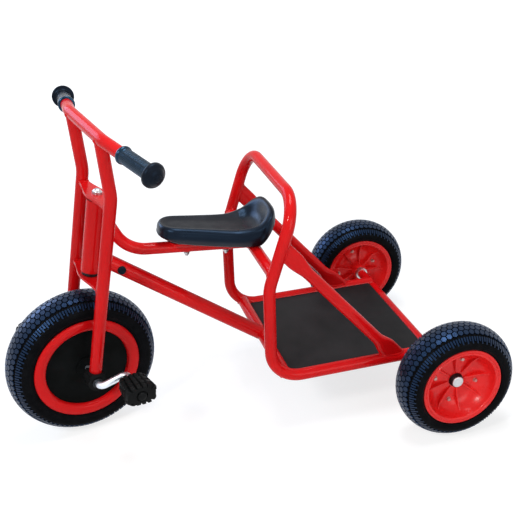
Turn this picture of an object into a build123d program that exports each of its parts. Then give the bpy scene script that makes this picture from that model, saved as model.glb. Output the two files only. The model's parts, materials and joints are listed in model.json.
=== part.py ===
"""Children's tricycle: driven front wheel, seat on a bent frame, hoop and rear standing platform.

Millimetres. +X points forward, +Y to the rider's left, +Z up. The origin is on the floor at the
middle of the overall length and width. The front wheel is stored turned a little to the left.
"""
import os
from math import atan2, cos, degrees, radians, sin, sqrt, tan

from build123d import *

# ------------------------------------------------------------------ overall sizes
WHEELBASE = 751.0            # rear axle to front axle, steering straight
REAR_TRACK = 561.0           # between the middle planes of the rear tyres
REST_TURN = 12.4             # degrees to the left in the stored pose
RAKE = 10.7                  # degrees the steering axis leans back
FORK_OFFSET = 3.0           # front axle ahead of the steering axis

# ------------------------------------------------------------------ fits
WELD_FIT = 0.15              # coped tube end to the tube it is welded to
SEAT_FIT = 0.10              # piece seated on another of the same body
RUN_FIT = 0.08               # radial clearance of a shaft that turns
FACE_GAP = 0.50              # side gap between faces that turn past each other

# ------------------------------------------------------------------ tubes
FRAME_TUBE = 25.4
DOWN_TUBE = 31.8
BLADE_TUBE = 26.0
BAR_TUBE = 25.4
HEAD_TUBE = 40.0
AXLE_TUBE = 22.0
TUBE_WALL = 2.0
HEAD_WALL = 3.0

# ------------------------------------------------------------------ wheels
CROWN_R = 53.0               # curve of the tread across the tyre
CROWN_HALF_ANGLE = 50.0
REAR_TYRE_R = 130.0
REAR_TYRE_W = 90.0
REAR_LIP_R = 89.0
REAR_LIP_OUT = 39.4          # lip plane from the middle of the tyre
FRONT_TYRE_R = 165.0
FRONT_TYRE_W = 91.0
FRONT_LIP_R = 116.5
FRONT_LIP_OUT = 41.8
LIP_THICK = 2.5
SEAT_DEPTH = 8.0             # tyre seat below the lip edge
BEAD_LIFT = 0.6              # tyre wall above the lip edge
FRONT_RING_IN_R = 91.0
LIP_BULGE = 1.5              # rolled face of the front rim's band
REAR_BAND_IN_R = 77.0        # inner edge of the rear rim's band
DISH_R = 76.0                # outer end of the pockets between the ribs
DISH_FOOT_R = 60.0           # where the outer face's sloping dish meets the web
WEB_HALF = 4.0               # half thickness of the web between the ribs
RIB_COUNT = 8
RIB_WIDE = 6.0
RIB_OUT_LOW = 8.0            # ribs on the outer face, at the hub and at the dish
RIB_OUT_HIGH = 24.0
RIB_OUT_END_R = 69.0
HUB_OUT = 6.0                # outer end of the hub
HUB_IN = 40.0                # inner end of the hub
RIB_IN_HIGH = 23.0           # ribs on the inner face, at the hub and at the dish
RIB_IN_LOW = 17.0
REAR_HUB_R = 17.0
HUB_ROOT_R = 23.0
HUB_CONE_R = 32.0            # foot of the hub's cone on the inner face

# ------------------------------------------------------------------ steering frame
axis_dir = Vector(-sin(radians(RAKE)), 0, cos(radians(RAKE)))
square_dir = Vector(cos(radians(RAKE)), 0, sin(radians(RAKE)))
turned_dir = square_dir.rotate(Axis((0, 0, 0), axis_dir), REST_TURN)
axle_dir = axis_dir.cross(turned_dir)


def tyre_reach(radius, axle_part):
    """Farthest point of a tyre from its centre, along a direction with this part of the axle."""
    return (radius - CROWN_R) * sqrt(1 - axle_part**2) + CROWN_R


foot_z = tyre_reach(FRONT_TYRE_R, axle_dir.Z) - FORK_OFFSET * turned_dir.Z
foot_x = WHEELBASE - FORK_OFFSET * square_dir.X
front_reach = foot_x + FORK_OFFSET * turned_dir.X + tyre_reach(FRONT_TYRE_R, axle_dir.X)
REAR_X = (REAR_TYRE_R - front_reach) / 2
steer_foot = Vector(REAR_X + foot_x, 0, foot_z)
HEAD = Plane(origin=steer_foot, x_dir=square_dir, z_dir=axis_dir)
FORK = Plane(origin=steer_foot, x_dir=turned_dir, z_dir=axis_dir)
FRONT_WHEEL = Plane(origin=FORK.from_local_coords((FORK_OFFSET, 0, 0)), x_dir=FORK.y_dir,
                    z_dir=FORK.x_dir)


def rear_wheel_plane(side):
    """Plane through a rear axle end: local X along the axle, local Y up."""
    return Plane(origin=(REAR_X, side * REAR_TRACK / 2, REAR_TYRE_R), x_dir=(0, 1, 0),
                 z_dir=(1, 0, 0))


def fork_point(x, y, z):
    """Point given in the turned fork's own frame."""
    return FORK.from_local_coords(Vector(x, y, z))


def head_point(x, y, z):
    """Point given in the frame's head-tube frame."""
    return HEAD.from_local_coords(Vector(x, y, z))


def frame_point(x, y, z):
    """Point given from the rear axle forward, the middle plane and the floor."""
    return Vector(REAR_X + x, y, z)


# ------------------------------------------------------------------ shared shapes
def rod(points, radius, bend=0.0):
    """Solid round bar along straight runs joined by bends."""
    with BuildPart() as bar:
        with BuildLine() as path:
            if len(points) > 2:
                FilletPolyline(*points, radius=bend)
            else:
                Line(*points)
        with BuildSketch(Plane(origin=path.line @ 0, z_dir=path.line % 0)):
            Circle(radius)
        sweep(path=path.line)
    return bar.part


def tube(points, outer, wall, bend=0.0, cuts=()):
    """Round tube along straight runs joined by bends, its ends coped by the given solids."""
    with BuildPart() as pipe:
        with BuildLine() as path:
            if len(points) > 2:
                FilletPolyline(*points, radius=bend)
            else:
                Line(*points)
        with BuildSketch(Plane(origin=path.line @ 0, z_dir=path.line % 0)):
            Circle(outer / 2)
            Circle(outer / 2 - wall, mode=Mode.SUBTRACT)
        sweep(path=path.line)
        for cut in cuts:
            add(cut, mode=Mode.SUBTRACT)
    return pipe


def turned_ring(plane, sections):
    """Ring or rings turned about the local X axis: sections are (x0, x1, inner r, outer r)."""
    with BuildPart() as ring:
        with BuildSketch(plane):
            for x0, x1, r0, r1 in sections:
                with Locations(((x0 + x1) / 2, (r0 + r1) / 2)):
                    Rectangle(x1 - x0, r1 - r0)
        revolve(axis=Axis(plane.origin, plane.x_dir))
    return ring


def tyre(plane, radius, width, lip_r, lip_out):
    """Fat tyre turned about the local X axis, its beads between the rim lips."""
    shoulder_sin = sin(radians(CROWN_HALF_ANGLE))
    shoulder_cos = cos(radians(CROWN_HALF_ANGLE))
    shoulder_x = CROWN_R * shoulder_sin
    shoulder_r = radius - CROWN_R * (1 - shoulder_cos)
    wall_r = (width / 2 - shoulder_x) / (1 - shoulder_sin)
    wide_r = shoulder_r - wall_r * shoulder_cos
    bead_x = lip_out - LIP_THICK - SEAT_FIT
    seat_r = lip_r - SEAT_DEPTH
    with BuildPart() as body:
        with BuildSketch(plane):
            with BuildLine():
                ThreePointArc((-shoulder_x, shoulder_r), (0, radius), (shoulder_x, shoulder_r))
                for side in (-1, 1):
                    wide = (side * width / 2, wide_r)
                    TangentArc(wide, (side * shoulder_x, shoulder_r), tangent=(0, 1))
                    TangentArc(wide, (side * bead_x, lip_r + BEAD_LIFT), tangent=(0, -1))
                    Line((side * bead_x, lip_r + BEAD_LIFT), (side * bead_x, seat_r))
                Line((-bead_x, seat_r), (bead_x, seat_r))
            make_face()
        revolve(axis=Axis(plane.origin, plane.x_dir))
    return body


parts = {}

# ------------------------------------------------------------------ platform loop and hoop
RAIL_Y = 171.0
RAIL_Z = 136.5
RAIL_BACK_X = 0.0
HOOP_X = 372.0               # upright legs of the hoop
HOOP_KNEE_Z = 353.5          # where the legs start to lean back
HOOP_TOP_X = 311.5
HOOP_TOP_Z = 536.0
RAIL_BEND = 68.0             # bends from rail to leg, at the knee and at the top
KNEE_BEND = 105.0
TOP_CORNER_BEND = 70.0
AXLE_Z = REAR_TYRE_R
SPACER_LONG = 8.0            # steel collar between the axle tube and the hub
AXLE_TUBE_END = REAR_TRACK / 2 - HUB_IN - FACE_GAP - SPACER_LONG

axle_envelope = rod([frame_point(0, -AXLE_TUBE_END, AXLE_Z), frame_point(0, AXLE_TUBE_END, AXLE_Z)],
                    AXLE_TUBE / 2 + WELD_FIT)

loop_points = [
    frame_point(RAIL_BACK_X, RAIL_Y, RAIL_Z),
    frame_point(HOOP_X, RAIL_Y, RAIL_Z),
    frame_point(HOOP_X, RAIL_Y, HOOP_KNEE_Z),
    frame_point(HOOP_TOP_X, RAIL_Y, HOOP_TOP_Z),
    frame_point(HOOP_TOP_X, -RAIL_Y, HOOP_TOP_Z),
    frame_point(HOOP_X, -RAIL_Y, HOOP_KNEE_Z),
    frame_point(HOOP_X, -RAIL_Y, RAIL_Z),
    frame_point(RAIL_BACK_X, -RAIL_Y, RAIL_Z),
]
loop_bends = [RAIL_BEND, KNEE_BEND, TOP_CORNER_BEND, TOP_CORNER_BEND, KNEE_BEND, RAIL_BEND]
parts["platform_hoop"] = tube(loop_points, FRAME_TUBE, TUBE_WALL, loop_bends, [axle_envelope])
loop_envelope = rod(loop_points, FRAME_TUBE / 2 + WELD_FIT, loop_bends)

# ------------------------------------------------------------------ rear axle
AXLE_ROD_R = 7.0
CAP_R = 12.5
CAP_LONG = 12.5
CAP_EDGE = 2.0
SPACER_R = 15.0

parts["rear_axle_tube"] = tube(
    [frame_point(0, -AXLE_TUBE_END, AXLE_Z), frame_point(0, AXLE_TUBE_END, AXLE_Z)],
    AXLE_TUBE, AXLE_TUBE / 2 - AXLE_ROD_R - SEAT_FIT)
axle_plane = Plane(origin=frame_point(0, 0, AXLE_Z), x_dir=(0, 1, 0), z_dir=(1, 0, 0))
cap_in = REAR_TRACK / 2 + HUB_OUT + FACE_GAP
cap_out = cap_in + CAP_LONG
spacer_in = AXLE_TUBE_END + SEAT_FIT
spacer_out = REAR_TRACK / 2 - HUB_IN - FACE_GAP
with BuildPart() as rear_axle:
    with BuildSketch(axle_plane):
        with BuildLine():
            Polyline((-cap_in, AXLE_ROD_R), (-spacer_out, AXLE_ROD_R), (-spacer_out, SPACER_R),
                     (-spacer_in, SPACER_R), (-spacer_in, AXLE_ROD_R), (spacer_in, AXLE_ROD_R),
                     (spacer_in, SPACER_R), (spacer_out, SPACER_R), (spacer_out, AXLE_ROD_R),
                     (cap_in, AXLE_ROD_R))
            for end in (-1, 1):
                Polyline((end * cap_in, AXLE_ROD_R), (end * cap_in, CAP_R),
                         (end * (cap_out - CAP_EDGE), CAP_R))
                ThreePointArc((end * (cap_out - CAP_EDGE), CAP_R),
                              (end * (cap_out - 0.6), CAP_R - 0.6), (end * cap_out, CAP_R - CAP_EDGE))
                Line((end * cap_out, CAP_R - CAP_EDGE), (end * cap_out, 0))
            Line((-cap_out, 0), (cap_out, 0))
        make_face()
    revolve(axis=Axis(axle_plane.origin, axle_plane.x_dir))
parts["rear_axle"] = rear_axle

# ------------------------------------------------------------------ platform
FRONT_RAIL_X = 343.0         # cross tube welded between the rails' front bends
FRONT_RAIL_Z = RAIL_Z + RAIL_BEND - sqrt(RAIL_BEND**2 - (FRONT_RAIL_X - HOOP_X + RAIL_BEND)**2)
PLATE_THICK = 8.0
PLATE_TOP = RAIL_Z + 5.0
PLATE_GAP = 1.0
front_rail_points = [frame_point(FRONT_RAIL_X, -RAIL_Y, FRONT_RAIL_Z),
                     frame_point(FRONT_RAIL_X, RAIL_Y, FRONT_RAIL_Z)]
parts["platform_front_tube"] = tube(front_rail_points, FRAME_TUBE, TUBE_WALL, cuts=[loop_envelope])
front_rail_envelope = rod(front_rail_points, FRAME_TUBE / 2 + WELD_FIT)
plate_x0 = AXLE_TUBE / 2 + PLATE_GAP
plate_x1 = FRONT_RAIL_X - FRAME_TUBE / 2 - PLATE_GAP
plate_half = RAIL_Y - FRAME_TUBE / 2 - SEAT_FIT
with BuildPart() as platform_plate:
    with Locations(frame_point((plate_x0 + plate_x1) / 2, 0, PLATE_TOP - PLATE_THICK / 2)):
        Box(plate_x1 - plate_x0, 2 * plate_half, PLATE_THICK)
    fillet(platform_plate.edges().filter_by(Axis.Z), 6)
parts["platform_plate"] = platform_plate

TAB_WIDE = 30.0
TAB_LONG = 22.0
TAB_THICK = 4.0
with BuildPart() as platform_tabs:
    for side in (-1, 1):
        for tab_x in (70.0, 270.0):
            with Locations(frame_point(tab_x, side * (plate_half - TAB_LONG / 2 + 4),
                                       PLATE_TOP - PLATE_THICK - SEAT_FIT - TAB_THICK / 2)):
                Box(TAB_WIDE, TAB_LONG, TAB_THICK)
    add(loop_envelope, mode=Mode.SUBTRACT)
parts["platform_tabs"] = platform_tabs

# ------------------------------------------------------------------ head tube and main tubes
CROWN_THICK = 5.0
CROWN_OVER_TYRE = 40.0       # top of the lower crown plate above the tyre, along the axis
HEAD_LOW_GAP = 8.0           # room between the head tube and each crown plate
HEAD_HIGH_GAP = 7.5
HEAD_LONG = 158.0
LOWER_CROWN_Z = FRONT_TYRE_R + CROWN_OVER_TYRE
HEAD_LOW = LOWER_CROWN_Z + HEAD_LOW_GAP
HEAD_HIGH = HEAD_LOW + HEAD_LONG
UPPER_CROWN_Z = HEAD_HIGH + HEAD_HIGH_GAP
BUSH_LONG = 22.0
LOW_FLANGE_R = 17.5
HIGH_FLANGE_R = 14.5
SPINDLE_R = 9.0
parts["head_tube"] = tube([head_point(0, 0, HEAD_LOW), head_point(0, 0, HEAD_HIGH)], HEAD_TUBE,
                          HEAD_WALL)
head_envelope = rod([head_point(0, 0, HEAD_LOW - 5), head_point(0, 0, HEAD_HIGH + 5)],
                    HEAD_TUBE / 2 + WELD_FIT)
steer_plane = Plane(origin=HEAD.origin, x_dir=HEAD.z_dir, z_dir=HEAD.y_dir * -1)
fork_turn_plane = Plane(origin=FORK.origin, x_dir=FORK.z_dir, z_dir=FORK.y_dir * -1)
bush_r = HEAD_TUBE / 2 - HEAD_WALL - SEAT_FIT
parts["head_bushings"] = turned_ring(steer_plane, [
    (HEAD_LOW - HEAD_LOW_GAP + FACE_GAP, HEAD_LOW, SPINDLE_R + RUN_FIT, LOW_FLANGE_R),
    (HEAD_LOW, HEAD_LOW + BUSH_LONG, SPINDLE_R + RUN_FIT, bush_r),
    (HEAD_HIGH - BUSH_LONG, HEAD_HIGH, SPINDLE_R + RUN_FIT, bush_r),
    (HEAD_HIGH, HEAD_HIGH + HEAD_HIGH_GAP - FACE_GAP, SPINDLE_R + RUN_FIT, HIGH_FLANGE_R)])

DOWN_JOIN = 38.0             # where the tubes' axes meet the head tube's, above its lower end
TOP_JOIN = 144.6
TOP_RISE = Vector(51.7, 0, 108.3)    # last run of the top tube, from its bend to the head tube
TOP_BEND = 75.0
SUPPORT_Z = 384.0            # cross tube between the hoop's legs, under the seat
LEAN = (HOOP_TOP_X - HOOP_X) / (HOOP_TOP_Z - HOOP_KNEE_Z)
SUPPORT_X = HOOP_X + LEAN * (SUPPORT_Z - HOOP_KNEE_Z)
support_points = [frame_point(SUPPORT_X, -RAIL_Y, SUPPORT_Z),
                  frame_point(SUPPORT_X, RAIL_Y, SUPPORT_Z)]
parts["seat_support_tube"] = tube(support_points, FRAME_TUBE, TUBE_WALL, cuts=[loop_envelope])
support_envelope = rod(support_points, FRAME_TUBE / 2 + WELD_FIT)
down_points = [frame_point(FRONT_RAIL_X, 0, FRONT_RAIL_Z),
               head_point(0, 0, HEAD_LOW + DOWN_JOIN)]
parts["down_tube"] = tube(down_points, DOWN_TUBE, TUBE_WALL,
                          cuts=[head_envelope, front_rail_envelope])
top_front = head_point(0, 0, HEAD_LOW + TOP_JOIN)
top_points = [frame_point(SUPPORT_X, 0, SUPPORT_Z), top_front - TOP_RISE, top_front]
parts["top_tube"] = tube(top_points, FRAME_TUBE, TUBE_WALL, TOP_BEND,
                         [head_envelope, support_envelope])

# ------------------------------------------------------------------ stays
STAY_TOP_Z = 440.5
STAY_LOW_X = 85.0
FLARE_LONG = 34.0            # flattened foot of each stay
FLARE_WIDE = 42.0
FLARE_THICK = 17.0
FLARE_FLAT = 12.0            # either side of the rail's axis
for side, name in ((1, "left_stay"), (-1, "right_stay")):
    foot = frame_point(STAY_LOW_X, side * RAIL_Y, RAIL_Z)
    top = frame_point(HOOP_X + LEAN * (STAY_TOP_Z - HOOP_KNEE_Z), side * RAIL_Y, STAY_TOP_Z)
    climb = (top - foot).normalized()
    flare_top = foot + climb * (FRAME_TUBE / 2 + FLARE_LONG)
    with BuildPart() as stay:
        add(tube([flare_top, top], FRAME_TUBE, TUBE_WALL).part)
        for along in (-FLARE_FLAT, FLARE_FLAT):
            with BuildSketch(Plane(origin=foot + climb * along, x_dir=(0, 1, 0), z_dir=climb)):
                Ellipse(FLARE_THICK / 2, FLARE_WIDE / 2)
        with BuildSketch(Plane(origin=flare_top, x_dir=(0, 1, 0), z_dir=climb)):
            Circle(FRAME_TUBE / 2)
        loft()
        with BuildSketch(Plane.XY.offset(RAIL_Z)):
            with Locations((foot.X, foot.Y)):
                Rectangle(4 * FLARE_WIDE, 4 * FLARE_THICK)
        extrude(amount=-RAIL_Z, mode=Mode.SUBTRACT)
        add(loop_envelope, mode=Mode.SUBTRACT)
    parts[name] = stay

# ------------------------------------------------------------------ steering bumper
BUMPER_AT = 0.845            # along the down tube
BUMPER_R = 9.0
BUMPER_OUT = 5.0
BUMPER_ROUND = 4.0
bumper_centre = down_points[0] + (down_points[1] - down_points[0]) * BUMPER_AT
with BuildPart() as steering_bumper:
    for side in (-1, 1):
        with BuildSketch(Plane(origin=bumper_centre, x_dir=(1, 0, 0), z_dir=(0, side, 0))):
            Circle(BUMPER_R)
        extrude(amount=DOWN_TUBE / 2 + BUMPER_OUT)
    fillet(steering_bumper.faces().sort_by(Axis.Y)[0].edges(), BUMPER_ROUND)
    fillet(steering_bumper.faces().sort_by(Axis.Y)[-1].edges(), BUMPER_ROUND)
    add(rod(down_points, DOWN_TUBE / 2 + SEAT_FIT), mode=Mode.SUBTRACT)
parts["steering_bumpers"] = steering_bumper

# ------------------------------------------------------------------ seat
SEAT_BACK_X = 312.0          # back edge, from the rear axle
SEAT_WALL = 7.0
SEAT_RIB_HALF = 24.0         # solid middle of the seat over its bracket
SEAT_PLATE = 4.0
SEAT_PLATE_HALF = 27.0
PLATE_BACK = 18.0            # bracket ends, in front of the seat's back edge
PLATE_FRONT = 226.0
SEAT_STATIONS = [            # from the back edge, half width, then heights of rim, middle and base
    (0.0, 23.0, 465.0, 462.0, 438.0),
    (8.0, 46.0, 467.0, 456.0, 419.0),
    (24.0, 64.0, 452.0, 437.0, 400.0),
    (45.0, 68.5, 440.0, 428.0, 395.0),
    (98.0, 57.5, 438.0, 430.0, 399.0),
    (160.0, 48.7, 447.5, 440.5, 408.5),
    (222.0, 41.0, 458.0, 452.0, 421.0),
    (243.0, 30.0, 455.0, 452.0, 427.0),
    (250.0, 15.0, 448.0, 447.0, 434.0),
]
tube_run = (top_points[1] - top_points[0]).normalized()
tube_up = Vector(-tube_run.Z, 0, tube_run.X)


def over_tube(x, lift):
    """Point over the straight run of the top tube, at this distance from the rear axle."""
    along = (x - SUPPORT_X) / tube_run.X
    return top_points[0] + tube_run * along + tube_up * (FRAME_TUBE / 2 + lift)


with BuildPart() as seat_form:
    for back, half, rim, middle, base in SEAT_STATIONS:
        depth = rim - base
        with BuildSketch(Plane(origin=frame_point(SEAT_BACK_X + back, 0, 0), x_dir=(0, -1, 0),
                               z_dir=(-1, 0, 0))):
            with BuildLine():
                right = [(0.5 * half, middle + 0.3 * (rim - middle)), (0.86 * half, rim),
                         (0.985 * half, rim - 0.25 * depth), (0.97 * half, base + 0.15 * depth),
                         (0.82 * half, base)]
                left = [(-y, z) for y, z in reversed(right)]
                Spline((0, middle), *right, (0, base), *left, periodic=True)
            make_face()
    loft()

plate_points = [over_tube(SEAT_BACK_X + PLATE_BACK, WELD_FIT),
                over_tube(SEAT_BACK_X + PLATE_FRONT, WELD_FIT),
                over_tube(SEAT_BACK_X + PLATE_FRONT, WELD_FIT + SEAT_PLATE),
                over_tube(SEAT_BACK_X + PLATE_BACK, WELD_FIT + SEAT_PLATE)]
with BuildPart() as seat_bracket:
    with BuildSketch(Plane.XZ):
        with BuildLine():
            Polyline(*[(point.X, point.Z) for point in plate_points], close=True)
        make_face()
    extrude(amount=SEAT_PLATE_HALF, both=True)
    fillet(seat_bracket.edges().filter_by(lambda edge: abs(edge.tangent_at(0.5).dot(tube_up)) > 0.99), 8)
    add(support_envelope, mode=Mode.SUBTRACT)
parts["seat_bracket"] = seat_bracket

seat_middle = (plate_points[2] + plate_points[3]) * 0.5 + tube_up * SEAT_FIT
with BuildPart() as seat_cavity:
    for back, half, rim, middle, base in SEAT_STATIONS[2:7]:
        with BuildSketch(Plane(origin=frame_point(SEAT_BACK_X + back, 0, 0), x_dir=(0, -1, 0),
                               z_dir=(-1, 0, 0))):
            with Locations((0, (middle - SEAT_WALL + base) / 2 - SEAT_WALL)):
                Rectangle(2 * (half - SEAT_WALL), middle - base + SEAT_WALL)
    loft(ruled=True)
    with BuildSketch(Plane.XY):
        with Locations((seat_middle.X, 0)):
            Rectangle(2 * PLATE_FRONT, 2 * SEAT_RIB_HALF)
    extrude(amount=2 * SEAT_BACK_X, mode=Mode.SUBTRACT)
seat_floor = Plane(origin=seat_middle, x_dir=tube_run, z_dir=tube_up)
with BuildPart() as seat:
    add(seat_form.part)
    add(seat_cavity.part, mode=Mode.SUBTRACT)
    add(support_envelope, mode=Mode.SUBTRACT)
    with BuildSketch(seat_floor):
        Rectangle(2 * PLATE_FRONT, 2 * (SEAT_PLATE_HALF + 1))
    extrude(amount=-2 * FRAME_TUBE, mode=Mode.SUBTRACT)
parts["seat"] = seat

# ------------------------------------------------------------------ fork
BLADE_CLEAR = 25.3           # between the tyre and each blade
BLADE_Y = FRONT_TYRE_W / 2 + BLADE_CLEAR + BLADE_TUBE / 2
BLADE_FOOT = 19.0
KINK_OVER_CROWN = 26.5
BAR_OVER_CROWN = 146.5
BLADE_KINK = UPPER_CROWN_Z + KINK_OVER_CROWN
BAR_X = 35.0
BAR_Z = UPPER_CROWN_Z + BAR_OVER_CROWN
BAR_BEND_Y = 97.0
BAR_HALF = 260.0
BAR_SWEEP = 13.2             # degrees back
BAR_DROP = 4.5               # degrees down
CROWN_MIDDLE = 24.0          # half width of a crown plate at the spindle, waist and blade
CROWN_WAIST = 14.0
CROWN_END = 11.0

bar_run = BAR_HALF - BAR_BEND_Y
bar_back = bar_run * tan(radians(BAR_SWEEP))
bar_down = bar_run * tan(radians(BAR_DROP))
bar_points = [fork_point(BAR_X - bar_back, BAR_HALF, BAR_Z - bar_down),
              fork_point(BAR_X, BAR_BEND_Y, BAR_Z),
              fork_point(BAR_X, -BAR_BEND_Y, BAR_Z),
              fork_point(BAR_X - bar_back, -BAR_HALF, BAR_Z - bar_down)]
parts["handlebar"] = tube(bar_points, BAR_TUBE, TUBE_WALL, 60.0)
bar_envelope = rod(bar_points, BAR_TUBE / 2 + WELD_FIT, 60.0)

blade_envelopes = []
for side, name in ((1, "left_fork_blade"), (-1, "right_fork_blade")):
    blade_points = [fork_point(FORK_OFFSET, side * BLADE_Y, BLADE_FOOT),
                    fork_point(FORK_OFFSET, side * BLADE_Y, BLADE_KINK),
                    fork_point(BAR_X, side * BLADE_Y, BAR_Z)]
    parts[name] = tube(blade_points, BLADE_TUBE, TUBE_WALL, 90.0, [bar_envelope])
    blade_envelopes.append(rod(blade_points, BLADE_TUBE / 2 + WELD_FIT, 90.0))

for name, z0 in (("upper_crown_plate", UPPER_CROWN_Z), ("lower_crown_plate",
                                                        LOWER_CROWN_Z - CROWN_THICK)):
    with BuildPart() as crown:
        with BuildSketch(FORK.offset(z0)):
            with BuildLine():
                for edge in (-1, 1):
                    Spline((FORK_OFFSET + edge * CROWN_END, -BLADE_Y),
                           (FORK_OFFSET / 2 + edge * CROWN_WAIST, -0.6 * BLADE_Y),
                           (edge * CROWN_MIDDLE, 0),
                           (FORK_OFFSET / 2 + edge * CROWN_WAIST, 0.6 * BLADE_Y),
                           (FORK_OFFSET + edge * CROWN_END, BLADE_Y))
                for end in (-BLADE_Y, BLADE_Y):
                    Line((FORK_OFFSET - CROWN_END, end), (FORK_OFFSET + CROWN_END, end))
            make_face()
            Circle(SPINDLE_R + SEAT_FIT, mode=Mode.SUBTRACT)
        extrude(amount=CROWN_THICK)
        for blade in blade_envelopes:
            add(blade, mode=Mode.SUBTRACT)
    parts[name] = crown

NUT_R = 10.5
NUT_LONG = 5.0
DOME_LONG = 6.0
DOME_FLAT = 2.0
spindle_low = LOWER_CROWN_Z - CROWN_THICK - SEAT_FIT
nut_low = UPPER_CROWN_Z + CROWN_THICK + SEAT_FIT
with BuildPart() as steering_spindle:
    with BuildSketch(fork_turn_plane):
        with BuildLine():
            Polyline((spindle_low - NUT_LONG, 0), (spindle_low - NUT_LONG, NUT_R), (spindle_low, NUT_R),
                     (spindle_low, SPINDLE_R), (nut_low, SPINDLE_R), (nut_low, NUT_R),
                     (nut_low + NUT_LONG, NUT_R), (nut_low + NUT_LONG, NUT_R - 1.5))
            ThreePointArc((nut_low + NUT_LONG, NUT_R - 1.5),
                          (nut_low + NUT_LONG + 0.7 * DOME_LONG, 0.7 * (NUT_R - 1.5)),
                          (nut_low + NUT_LONG + DOME_LONG, DOME_FLAT))
            Polyline((nut_low + NUT_LONG + DOME_LONG, DOME_FLAT),
                     (nut_low + NUT_LONG + DOME_LONG, 0), (spindle_low - NUT_LONG, 0))
        make_face()
    revolve(axis=Axis(fork_turn_plane.origin, fork_turn_plane.x_dir))
parts["steering_spindle"] = steering_spindle

# ------------------------------------------------------------------ grips
GRIP_R = 15.5
GRIP_LONG = 108.0
GRIP_FLANGE_R = 18.0
GRIP_END_R = 24.0
GRIP_PAST_BAR = 7.0
GRIP_DOME = 11.0
GRIP_NOSE_R = 7.0            # flat at the end of the dome
GRIP_RIM = 4.5
GRIP_FLANGE = 8.0
for side, name in ((1, "left_grip"), (-1, "right_grip")):
    tip = bar_points[0] if side > 0 else bar_points[-1]
    inner = bar_points[1] if side > 0 else bar_points[-2]
    along = (inner - tip).normalized()
    grip_plane = Plane(origin=tip - along * GRIP_PAST_BAR, x_dir=along, z_dir=FORK.z_dir.cross(along))
    with BuildPart() as grip:
        with BuildSketch(grip_plane):
            with BuildLine():
                Line((0, 0), (0, GRIP_NOSE_R))
                ThreePointArc((0, GRIP_NOSE_R), (0.38 * GRIP_DOME, 0.8 * GRIP_END_R),
                              (GRIP_DOME, GRIP_END_R))
                Line((GRIP_DOME, GRIP_END_R), (GRIP_DOME + GRIP_RIM, GRIP_END_R))
                ThreePointArc((GRIP_DOME + GRIP_RIM, GRIP_END_R),
                              (GRIP_DOME + GRIP_RIM + 1.5, GRIP_R + 2.5),
                              (GRIP_DOME + 2 * GRIP_RIM, GRIP_R))
                Line((GRIP_DOME + 2 * GRIP_RIM, GRIP_R), (GRIP_LONG - GRIP_FLANGE, GRIP_R))
                ThreePointArc((GRIP_LONG - GRIP_FLANGE, GRIP_R),
                              (GRIP_LONG - 0.5 * GRIP_FLANGE, GRIP_FLANGE_R), (GRIP_LONG, GRIP_R + 1))
                Polyline((GRIP_LONG, GRIP_R + 1), (GRIP_LONG, BAR_TUBE / 2 + SEAT_FIT),
                         (GRIP_PAST_BAR - SEAT_FIT, BAR_TUBE / 2 + SEAT_FIT),
                         (GRIP_PAST_BAR - SEAT_FIT, 0), (0, 0))
            make_face()
        revolve(axis=Axis(grip_plane.origin, grip_plane.x_dir))
    parts[name] = grip

# ------------------------------------------------------------------ front wheel and cranks
CRANK_R = 6.0
CRANK_THROW = 60.0
CRANK_ANGLE = 157.0          # left crank, from forward towards the steering axis
CRANK_OUT = 34.0             # crank arms outside the blades' axes
CRANK_Y = BLADE_Y + CRANK_OUT
CRANK_BEND = 12.0
PEDAL_IN = CRANK_Y + 26.0
PEDAL_LONG = 62.0
SPINDLE_HEAD_R = 8.5
HOUSING_R = 19.0
HOUSING_HALF = 17.0

DISC_IN = 30.0
DISC_THICK = 4.0
parts["front_tyre"] = tyre(FRONT_WHEEL, FRONT_TYRE_R, FRONT_TYRE_W, FRONT_LIP_R, FRONT_LIP_OUT)
front_seat_r = FRONT_LIP_R - SEAT_DEPTH - SEAT_FIT
front_lip_in = FRONT_LIP_OUT - LIP_THICK
band_mid_r = (FRONT_LIP_R + FRONT_RING_IN_R) / 2
with BuildPart() as front_rim:
    with BuildSketch(FRONT_WHEEL):
        with BuildLine():
            Line((-front_lip_in, front_seat_r), (front_lip_in, front_seat_r))
            Line((-front_lip_in, front_seat_r - LIP_THICK), (front_lip_in, front_seat_r - LIP_THICK))
            for side in (-1, 1):
                Polyline((side * front_lip_in, front_seat_r), (side * front_lip_in, FRONT_LIP_R),
                         (side * (FRONT_LIP_OUT - LIP_BULGE), FRONT_LIP_R))
                ThreePointArc((side * (FRONT_LIP_OUT - LIP_BULGE), FRONT_LIP_R),
                              (side * FRONT_LIP_OUT, band_mid_r),
                              (side * (FRONT_LIP_OUT - LIP_BULGE), FRONT_RING_IN_R + LIP_BULGE))
                ThreePointArc((side * (FRONT_LIP_OUT - LIP_BULGE), FRONT_RING_IN_R + LIP_BULGE),
                              (side * (FRONT_LIP_OUT - 1.3 * LIP_BULGE), FRONT_RING_IN_R + 0.3 * LIP_BULGE),
                              (side * (FRONT_LIP_OUT - 2 * LIP_BULGE), FRONT_RING_IN_R))
                Polyline((side * (FRONT_LIP_OUT - 2 * LIP_BULGE), FRONT_RING_IN_R),
                         (side * DISC_IN, FRONT_RING_IN_R), (side * DISC_IN, FRONT_RING_IN_R + LIP_THICK),
                         (side * front_lip_in, FRONT_RING_IN_R + LIP_THICK),
                         (side * front_lip_in, front_seat_r - LIP_THICK))
        make_face()
    revolve(axis=Axis(FRONT_WHEEL.origin, FRONT_WHEEL.x_dir))
parts["front_rim"] = front_rim

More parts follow.
